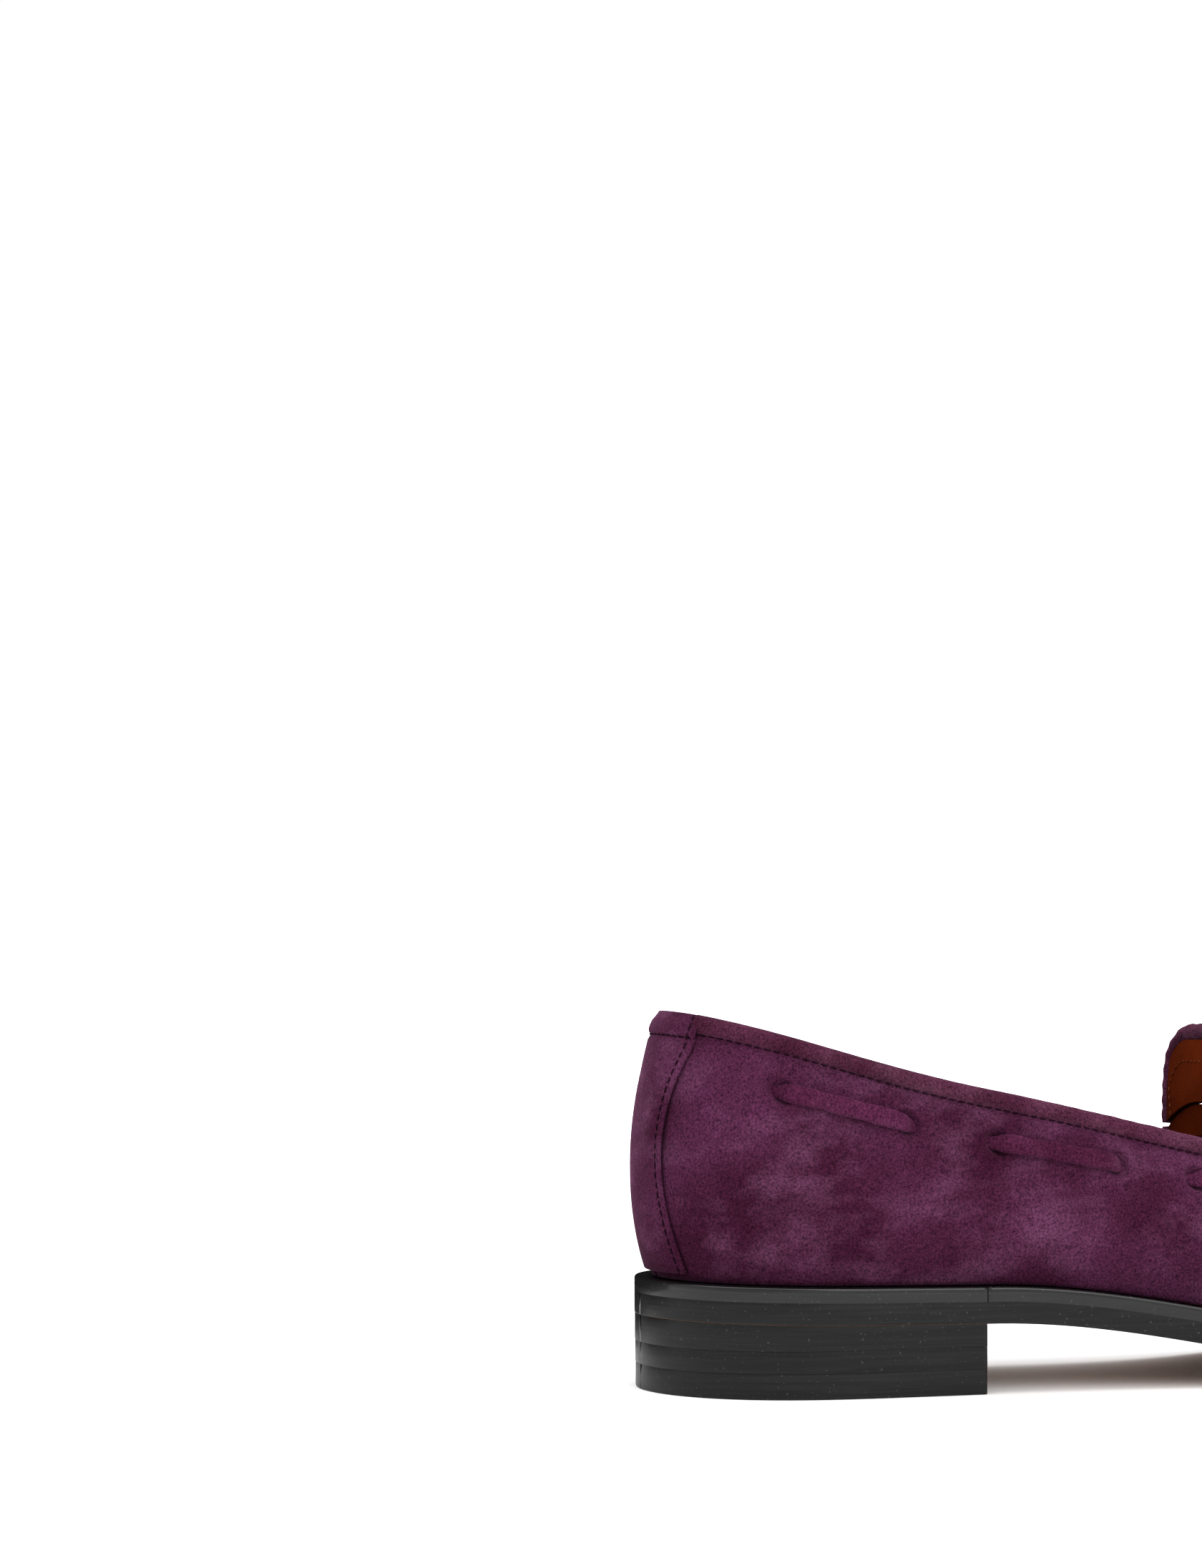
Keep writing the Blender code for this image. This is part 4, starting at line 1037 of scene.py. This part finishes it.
def strip_path():
    """(v, lift) up the outside, over the topline and down inside."""
    length = float(wall_length(0.0))
    tab_v = 1 - np.array([5.2, 4.6, 3.6, 2.4, 1.2, 0.4, 0]) / length
    v = np.concatenate([np.linspace(0.035, 1 - TAB / length, 40), tab_v])
    below = (1 - v) * length
    sewn = 0.45 * np.exp(-(((below - TAB) / 0.55) ** 2))
    doubled = 0.45 * (below < TAB - 0.3)
    lift = STRIP_LIFT - sewn + doubled - 1.1 * np.exp(-((below / 1.9) ** 2))
    turn = np.linspace(0.12, 1, 9) * np.pi
    middle = (STRIP_LIFT - 0.65 - 4.2) / 2
    over_v = 1 + np.sin(turn) * 0.55 / length
    over_lift = middle + np.cos(turn) * (STRIP_LIFT - 0.65 - middle)
    inner_v = 1 - np.array([1.0, 2.4, 4.2]) / length
    inner_lift = np.full(3, -4.25)
    return np.concatenate([v, over_v, inner_v]), np.concatenate([lift, over_lift, inner_lift])


def back_strip():
    """The strip over the back seam, its edges turned down."""
    v, lift = strip_path()
    across = crowded(0.0, 1.0, 0.07, 0.16) * 2 - 1
    offset, v_grid = np.meshgrid(across, v, indexing="ij")
    half = strip_half(np.clip(v_grid, 0, 1))
    edge = (1 - np.abs(offset)) * half
    index = strip_station(offset * half, np.clip(v_grid, 0, 1))
    drop = rounding(edge, 0.7) + 0.3 * np.exp(-(((edge - 1.7) / 0.45) ** 2))
    inside = np.arange(len(v)) > len(v) - 6
    drop = drop * np.where(inside, -0.3, 1.0)[None, :]
    height = lift[None, :] - drop + 0.12 * np.sin(offset * 4 + v_grid * 9)
    return stands_for(sheet("strip_back", wall(index, v_grid, height), STRIP, SUEDE), "back_strip")


back_strip()


def strip_seams():
    """Seam lines up both edges of the strip, and one across under the tab."""
    length = float(wall_length(0.0))
    v = np.linspace(0.05, 1 - 1.0 / length, 80)
    lines = []
    for side in (-1, 1):
        index = strip_station(side * (strip_half(v) - 1.7), v)
        lines.append(wall(index, v, STRIP_LIFT - 0.2 + 0.42 * ((1 - v) * length < TAB)))
    across = np.linspace(-1, 1, 40)
    v = np.full_like(across, 1 - TAB / length)
    index = strip_station(across * (strip_half(v) - 1.7), v)
    lines.append(wall(index, v, STRIP_LIFT - 0.35))
    return lines


sew("thread_back_strip", strip_seams(), running, THREAD, Pitch=2.2, Length=1.75, Thickness=0.62)

# %% Topline binding
BINDING_START = 0.93
BINDING_SECTION = np.array((  # below the edge, lift: up the outside, over, down the inside, back
    (4.1, -0.3), (4.0, 0.4), (3.5, 1.15), (2.7, 1.7), (1.8, 1.85), (0.9, 1.55), (0.05, 0.85),
    (-0.5, -0.2), (-0.7, -1.4), (-0.5, -2.6), (0.0, -3.6), (0.8, -4.1), (1.8, -4.3), (3.2, -4.1),
    (4.1, -3.5), (3.9, -2.95), (1.2, -2.95), (0.25, -2.6), (0.2, -0.3), (1.2, -0.1),
))
BINDING_MIDDLE = -1.4


def binding(name, node, side):
    """The roll along one side.  It returns the line of its seam."""
    end = station_at(STRAP_START + 2.5, -1)
    index = np.linspace(BINDING_START, end, 260)
    if side > 0:
        index = STATIONS - index[::-1]
    below, lift = BINDING_SECTION.T
    away = lift - BINDING_MIDDLE
    rings = []
    for k in index:
        lumps = 0.05 * np.sin(k * 17.0) + 0.04 * np.sin(k * 41.0 + 1.0)
        swollen = BINDING_MIDDLE + away * (1 + lumps * np.clip(away, -3, 3) / 3)
        rings.append(wall(np.full(len(below), k), down(k, below), swollen))
    stands_for(sweep(name, np.array(rings), ROLL), node)
    return wall(index, down(index, 4.15), -0.05)


seams = [
    binding("binding_outer", "binding_lateral", -1),
    binding("binding_inner", "binding_medial", 1),
]
sew("thread_topline", seams, running, THREAD, Pitch=2.25, Length=1.65, Thickness=0.6)

# %% Collar lace: one suede thong, in and out of its slits and round inside the back
LACE_OUTSIDE, LACE_INSIDE, LACE_END = 0.45 + LACE_THICKNESS / 2, -2.35, 147.0
DIVE_AT = np.array([-3.0, -1.6, -0.6, 0.4, 1.4, 2.6, 4.2])
DIVE = np.array([0.0, 0.12, 0.36, 0.66, 0.86, 0.97, 1.0])


def lace_side(side):
    """Station numbers, lifts and x of the lace along one side, from the back to the throat."""
    dive_lift = LACE_INSIDE + (LACE_OUTSIDE - LACE_INSIDE) * DIVE
    places = [(LACE_END, LACE_INSIDE)]
    for start, end in LACE_PASSES:
        places += list(zip(start + DIVE_AT, dive_lift)) + list(zip(end - DIVE_AT, dive_lift))
        places += [(x, LACE_OUTSIDE) for x in np.linspace(start + 5.5, end - 5.5, 14)]
    x, lift = np.array(sorted(places)).T
    return np.array([station_at(k, side) for k in x]), lift, x


def collar_lace():
    """The thong: an oval carried along the outer side, round the back and along the inner."""
    outer_index, outer_lift, outer_x = lace_side(-1)
    inner_index, inner_lift, inner_x = lace_side(1)
    back = np.linspace(inner_index[0] - STATIONS + 0.1, outer_index[0] - 0.1, 40)
    index = np.concatenate([outer_index[::-1], back[::-1], inner_index - STATIONS])
    lift = np.concatenate([outer_lift[::-1], np.full(40, LACE_INSIDE), inner_lift])
    drop = np.concatenate([lace_drop(outer_x)[::-1], np.full(40, 13.2), lace_drop(inner_x)])
    centre = wall(index, down(index, drop), lift)
    ahead = np.gradient(centre, axis=0)
    ahead /= np.linalg.norm(ahead, axis=1)[:, None]
    up = wall(index, down(index, drop - 2), lift) - wall(index, down(index, drop + 2), lift)
    out = np.cross(up, ahead)
    out /= np.linalg.norm(out, axis=1)[:, None]
    up = np.cross(ahead, out)
    turn = np.linspace(0, 2 * np.pi, 18, endpoint=False)
    wide = np.sign(np.cos(turn)) * np.abs(np.cos(turn)) ** 0.55 * LACE_WIDTH / 2
    thick = np.sign(np.sin(turn)) * np.abs(np.sin(turn)) ** 0.7 * LACE_THICKNESS / 2
    pinch = 1 - 0.2 * np.clip((0.2 - lift) / 1.2, 0, 1)
    wander = 1 + 0.05 * np.sin(np.arange(len(index)) * 0.9)
    rings = centre[:, None] + up[:, None] * (wide * (pinch * wander)[:, None])[..., None]
    rings = rings + out[:, None] * np.broadcast_to(thick, (len(index), 18))[..., None]
    return stands_for(sweep("lace_collar", rings, THONG), "collar_lace")


collar_lace()

# %% Saddle strap with its slot
WALL_COUNT, TOP_COUNT = 44, 72


def saddle_line(x):
    """Points over the shoe at one x: up the outer wall, over the apron, down the inner wall."""
    outer, inner = station_at(x, -1), station_at(x, 1)
    v = np.linspace(0.02, 0.96, WALL_COUNT)
    w = np.linspace(-0.93, 0.93, TOP_COUNT)
    low, high = sample(WALL, outer, 1.0), sample(WALL, inner, 1.0)
    top = low + (high - low) * ((w + 1) / 2)[:, None]
    top[:, 2] += crown(outer) * (1 - w * w)
    return np.concatenate([wall(outer, v), top, wall(inner, v[::-1])])


def raised(grid, lift):
    """A grid moved out along its own normals."""
    normals = np.cross(np.gradient(grid, axis=0), np.gradient(grid, axis=1))
    normals /= np.linalg.norm(normals, axis=2)[..., None]
    return grid + normals * np.asarray(lift)[..., None]


def smoothed(grid, times):
    """A grid relaxed along its rows, which takes the corner at the seam off the strap."""
    for _ in range(times):
        grid[:, 1:-1] = grid[:, 1:-1] * 0.5 + (grid[:, :-2] + grid[:, 2:]) * 0.25
    return grid


def saddle_grid():
    """The places of the rows across the strap, and its outer face."""
    x = crowded(0, STRAP_WIDTH, 1.5, 1.4)
    grid = smoothed(np.array([saddle_line(STRAP_START + k) for k in x]), 14)
    edge = np.minimum(x, STRAP_WIDTH - x)
    lift = 2.75 - rounding(edge, 0.8) - 0.3 * np.exp(-(((edge - 2.2) / 0.5) ** 2))
    return x, raised(grid, np.repeat(lift[:, None], grid.shape[1], 1))


strap_x, strap_face = saddle_grid()
strap = sheet("strap_saddle", strap_face, 1.6, SUEDE)
STRAP_MIDDLE = STRAP_START + STRAP_WIDTH / 2
SLOT_HALF_WIDTH, SLOT_HALF_LENGTH = 3.0, 13.0


def slot_tool():
    """An upright eye-shaped prism for the slot."""
    turn = np.linspace(-1, 1, 17)
    front = [(STRAP_MIDDLE + SLOT_HALF_WIDTH * (1 - t * t), SLOT_HALF_LENGTH * t) for t in turn]
    back = [(2 * STRAP_MIDDLE - x, y) for x, y in front[::-1][1:-1]]
    return np.array([[(x, y, z) for x, y in front + back] for z in (40.0, 100.0)])


tool = sweep("slot tool", slot_tool(), None)
opening = strap.modifiers.new("slot", "BOOLEAN")
opening.operation, opening.object, opening.solver = "DIFFERENCE", tool, "EXACT"
settle(strap)
bpy.data.objects.remove(tool)
strap.data.shade_smooth()
edges = strap.modifiers.new("crisp", "WEIGHTED_NORMAL")
edges.keep_sharp = True
stands_for(strap, "saddle_strap")


def strap_row(place):
    """The line over the strap's face at a distance from its back edge."""
    return np.array([
        [np.interp(place, strap_x, column[:, axis]) for axis in range(3)]
        for column in strap_face.transpose(1, 0, 2)
    ])


def strap_seams():
    """A seam inside each edge of the strap, and one round the slot."""
    lines = [strap_row(place)[2:-2] for place in (2.2, STRAP_WIDTH - 2.2)]
    for side in (-1, 1):
        points = []
        for t in np.linspace(-1, 1, 40):
            x, y = STRAP_MIDDLE + side * 4.9 * (1 - t * t), 15.6 * t
            row = strap_row(x - STRAP_START)[WALL_COUNT : WALL_COUNT + TOP_COUNT]
            points.append([x, y, np.interp(y, row[:, 1], row[:, 2]) + 0.05])
        lines.append(np.array(points))
    return lines


sew("thread_saddle", strap_seams(), running, THREAD, Pitch=2.4, Length=1.8, Thickness=0.62)

# %% [markdown]
# ## Linings and tongue
#
# Inside, smooth cognac leather covers everything.  It is a patch of the same wall, deeper in.  The
# tongue stands up behind the saddle: suede in front, lining behind, and its rim rolled over in
# suede.  Its pieces move with the tongue's own body, and its root stays with the shoe.

# %% Linings
def lining_lift(below):
    """The lining's depth: it lies close under the binding and deeper below."""
    ease = np.clip((below - 4.6) / 4.0, 0, 1)
    return -(1.8 + 1.5 * ease * ease * (3 - 2 * ease))


def wall_lining(name, node, start, end, columns):
    """A lining of the wall between two stations."""
    index = np.linspace(start, end, columns)
    low = 5.4 / wall_length(index)
    t = merged([np.linspace(0, 1, 30), 1 - np.linspace(0, 0.18, 8)], 0.004)
    v = low[:, None] + (1 - low[:, None]) * t[None, :]
    grid_index = np.repeat(index[:, None], len(t), 1)
    below = (1 - v) * wall_length(grid_index)
    lift = lining_lift(below) + 0.35 * slack(grid_index, v)
    return stands_for(sheet(name, wall(grid_index, v, lift), 1.0, LINING), node)


wall_lining("lining_quarters", "quarter_lining", JOIN[1] - STATIONS + 0.02, JOIN[0] - 0.02, 260)
wall_lining("lining_vamp", "vamp_lining", JOIN[0] + 0.02, JOIN[1] - 0.02, 200)

# %% Tongue
TONGUE_X, TONGUE_BASE, TONGUE_TOP, TONGUE_HALF = 143.9, 54.75, 82.7, 21.5
TONGUE_MIDDLE = -0.2
TONGUE_BEND = 5.0


def tongue_point(s, t, forward=0.0, grow=0.0):
    """Points of the tongue: s from the outer side (-1) to the inner (1), t from root to top."""
    half = TONGUE_HALF - 2.0 * (1 - t) + grow
    y = TONGUE_MIDDLE + s * half
    arch = 10.5 * (1 - (s * half / 25.2) ** 2)
    low = TONGUE_BASE + arch
    corner = np.clip((np.abs(s) - 0.7) / 0.3, 0, 1)
    shoulder = 6.5 * (1 - np.sqrt(1 - 0.999 * corner**2))
    high = TONGUE_TOP + 0.6 * (1 - s * s) - shoulder + grow * (2.3 if grow < 0 else 1.0)
    z = low + (high - low) * t
    u = (z - TONGUE_BASE) / (TONGUE_TOP - TONGUE_BASE)
    cup = 1.6 * s * s * np.clip(u - 0.3, 0, 1)
    x = TONGUE_X + forward + TONGUE_BEND * u * u - cup
    return np.stack(np.broadcast_arrays(x, y, z), -1)


def tongue_sheet(name, node, forward, thickness, material, grow):
    """One layer of the tongue."""
    s, t = np.meshgrid(crowded(-1, 1, 0.07, 0.12), crowded(0, 1, 0.05, 0.08), indexing="ij")
    grid = tongue_point(s, t, forward, grow).transpose(1, 0, 2)
    return stands_for(sheet(name, grid, thickness, material, body="tongue"), node)


tongue_sheet("tongue_suede", "tongue", 0.0, 1.5, SUEDE, 0.0)
tongue_sheet("tongue_calf_lining", "tongue_lining", -1.55, 1.0, LINING, -1.3)


def tongue_root():
    """The tongue's root, which runs down to the throat and stays with the shoe."""
    s, z = np.meshgrid(np.linspace(-1, 1, 50), np.linspace(0, 1, 14), indexing="ij")
    low = tongue_point(s, 0.0 * z, -0.7, 1.2)
    low[..., 2] += -0.6 - 0.6 * s**6 - 8.0 * (1 - z)
    root = sheet("tongue_root", low.transpose(1, 0, 2), 2.0, LINING)
    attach(root, "shoe")
    print(f"tongue root: {len(root.data.polygons)} faces")


def tongue_tuck(name, s):
    """The puckered roll beside the root, which flares out into the topline."""
    z = np.linspace(0, 1, 40)
    path = tongue_point(np.full_like(z, s), 0.0 * z, 0.0, 0.4)
    path[:, 2] += -0.4 - 8.5 * (1 - z)
    path[:, 1] += s * 2.2 * (1 - z) ** 2
    path[:, 0] -= 2.0 * (1 - z) ** 2
    bulge = 1.25 + 0.5 * np.abs(np.sin(z * 9.5)) + 0.5 * (1 - z)
    turn = np.linspace(0, 2 * np.pi, 14, endpoint=False)
    circle = np.stack([np.cos(turn) * 1.3, np.sin(turn), 0 * turn], 1)
    tuck = sweep(name, path[:, None] + circle * bulge[:, None, None], ROLL)
    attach(tuck, "shoe")


tongue_root()
tongue_tuck("tongue_tuck_outer", -1.0)
tongue_tuck("tongue_tuck_inner", 1.0)


def tongue_rim(inset):
    """The tongue's free edge: up one side, over the top and down the other."""
    side = np.linspace(0.0, 1, 40)
    top = np.sin(np.linspace(-np.pi / 2, np.pi / 2, 110))
    outer = tongue_point(np.full_like(side, -1.0), side, -0.3, -inset)
    over = tongue_point(top, np.ones_like(top), -0.3, -inset)
    inner = tongue_point(np.full_like(side, 1.0), side[::-1], -0.3, -inset)
    return np.concatenate([outer[:-1], over, inner[1:]])


def rolled_rim():
    """The suede rolled over the rim, plump at the top and slim at the sides."""
    path = tongue_rim(0.5)
    for _ in range(10):
        path[1:-1] = path[1:-1] * 0.5 + (path[:-2] + path[2:]) * 0.25
    ahead = np.gradient(path, axis=0)
    ahead /= np.linalg.norm(ahead, axis=1)[:, None]
    front = np.tile([1.0, 0.0, 0.0], (len(path), 1))
    out = np.cross(ahead, front)
    out /= np.linalg.norm(out, axis=1)[:, None]
    front = np.cross(out, ahead)
    turn = np.linspace(0, 2 * np.pi, 16, endpoint=False)[None, :, None]
    thick = (1 + 0.05 * np.sin(np.arange(len(path)) * 0.7))[:, None, None]
    plump = 1.05 + np.clip((path[:, 2] - TONGUE_TOP + 7.0) / 6.0, 0, 1)[:, None, None]
    rings = path[:, None] + out[:, None] * np.cos(turn) * thick * plump
    rings = rings + front[:, None] * np.sin(turn) * 2.15 * thick
    roll = sweep("tongue_rolled_rim", rings, ROLL, body="tongue")
    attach(roll, "tongue")
    print(f"tongue rim: {len(roll.data.polygons)} faces")


rolled_rim()
seam = tongue_rim(3.6)[4:-4]
seam[:, 0] -= 1.35
tongue_stitch = {"Pitch": 2.0, "Length": 1.3, "Thickness": 0.42}
sew("thread_tongue", [seam], running, TAN_THREAD, body="tongue", **tongue_stitch)

# %% Welt stitches round the forepart
def welt_seam():
    """The line of the channel on top of the welt."""
    index = np.linspace(BREAST + 0.6, STATIONS - BREAST - 0.6, 700)
    return outline(index, 2.1, WELT_TOP - 0.22)


sew("thread_welt", [welt_seam()], running, THREAD, Pitch=3.0, Length=2.3, Thickness=0.8)

# %% [markdown]
# ## Floor, light and camera
#
# A white floor that runs out of sight, a bright sky all round and two broad soft lights: dark
# suede and black wax need large lights, because small ones show as hard spots.  A dark card
# beside the heel, which only reflections see, gives the wax a deep edge as in a studio.

# %% Floor and lights
def plain_material(name, color, roughness):
    """A matt material for the floor and the card."""
    made = bpy.data.materials.new(name)
    made.use_nodes = True
    shader = made.node_tree.nodes["Principled BSDF"]
    shader.inputs["Base Color"].default_value = (*color, 1)
    shader.inputs["Roughness"].default_value = roughness
    shader.inputs["Specular IOR Level"].default_value = 0.1
    return made


def glowing_floor():
    """White paper that glows more with distance, so the floor meets the white sky with no line."""
    made = plain_material("white floor", (0.9, 0.9, 0.9), 0.95)
    nodes, links = made.node_tree.nodes, made.node_tree.links
    place = nodes.new("ShaderNodeTexCoord")
    reach = nodes.new("ShaderNodeVectorMath")
    reach.operation = "LENGTH"
    grow = nodes.new("ShaderNodeMapRange")
    grow.interpolation_type = "SMOOTHSTEP"
    grow.inputs["From Min"].default_value = 0.28
    grow.inputs["From Max"].default_value = 1.1
    grow.inputs["To Max"].default_value = 1.1
    links.new(place.outputs["Object"], reach.inputs[0])
    links.new(reach.outputs["Value"], grow.inputs["Value"])
    shader = nodes["Principled BSDF"]
    shader.inputs["Emission Color"].default_value = (1, 1, 1, 1)
    links.new(grow.outputs["Result"], shader.inputs["Emission Strength"])
    return made


bpy.ops.mesh.primitive_plane_add(size=30.0, location=(0, 0, -0.00005))
floor = bpy.context.active_object
floor.name = "floor"
floor.data.materials.append(glowing_floor())

upright = (math.pi / 2, 0, 0)
bpy.ops.mesh.primitive_plane_add(size=1.0, location=(-0.25, 0.1, 0.1), rotation=upright)
card = bpy.context.active_object
card.name = "dark card"
card.scale = (0.34, 0.3, 1.0)
card.data.materials.append(plain_material("dark card", (0.01, 0.01, 0.01), 1.0))
card.visible_camera = card.visible_shadow = card.visible_diffuse = False


def soft_light(name, place, target, size, power):
    """A square area light at a place, aimed at a target."""
    data = bpy.data.lights.new(name, "AREA")
    data.shape, data.size, data.energy = "SQUARE", size, power
    light = bpy.data.objects.new(name, data)
    bpy.context.scene.collection.objects.link(light)
    light.location = place
    x, y, z = np.array(target) - np.array(place)
    light.rotation_euler = (
        math.atan2(math.hypot(x, y), -z), 0, math.atan2(y, x) - math.pi / 2
    )


soft_light("top light", (-0.15, 0.1, 1.5), (0, 0, 0), 1.6, 24.0)
soft_light("key light", (0.55, -1.3, 0.95), (0, 0, 0.04), 1.1, 13.0)

world = bpy.data.worlds.new("white studio")
bpy.context.scene.world = world
world.use_nodes = True
sky = world.node_tree.nodes["Background"]
sky.inputs["Color"].default_value = (1, 1, 1, 1)
sky.inputs["Strength"].default_value = 1.0
bpy.context.scene.view_settings.view_transform = "Standard"
print("lights ready")

# %% Camera: low, from behind the outer side, with a long lens
VIEW_TURN, DISTANCE, EYE = math.radians(20.0), 904.0, 106.0
PAN, TILT = math.radians(-3.6), math.radians(2.2)
LENS = 90.2
AIM = np.array([40.0, -33.0, 0.0])
back = np.array([-math.sin(VIEW_TURN), -math.cos(VIEW_TURN), 0.0])
eye = AIM + back * DISTANCE
eye[2] = EYE
camera_data = bpy.data.cameras.new("camera")
camera_data.lens, camera_data.sensor_width, camera_data.clip_start = LENS, 36.0, 0.05
camera = bpy.data.objects.new("camera", camera_data)
bpy.context.scene.collection.objects.link(camera)
camera.location = (eye - ORIGIN) * MM
camera.rotation_euler = (math.pi / 2 + TILT, 0.0, -VIEW_TURN - PAN)
bpy.context.scene.camera = camera
print("camera at", [round(value, 3) for value in camera.location])

bpy.context.view_layer.update()
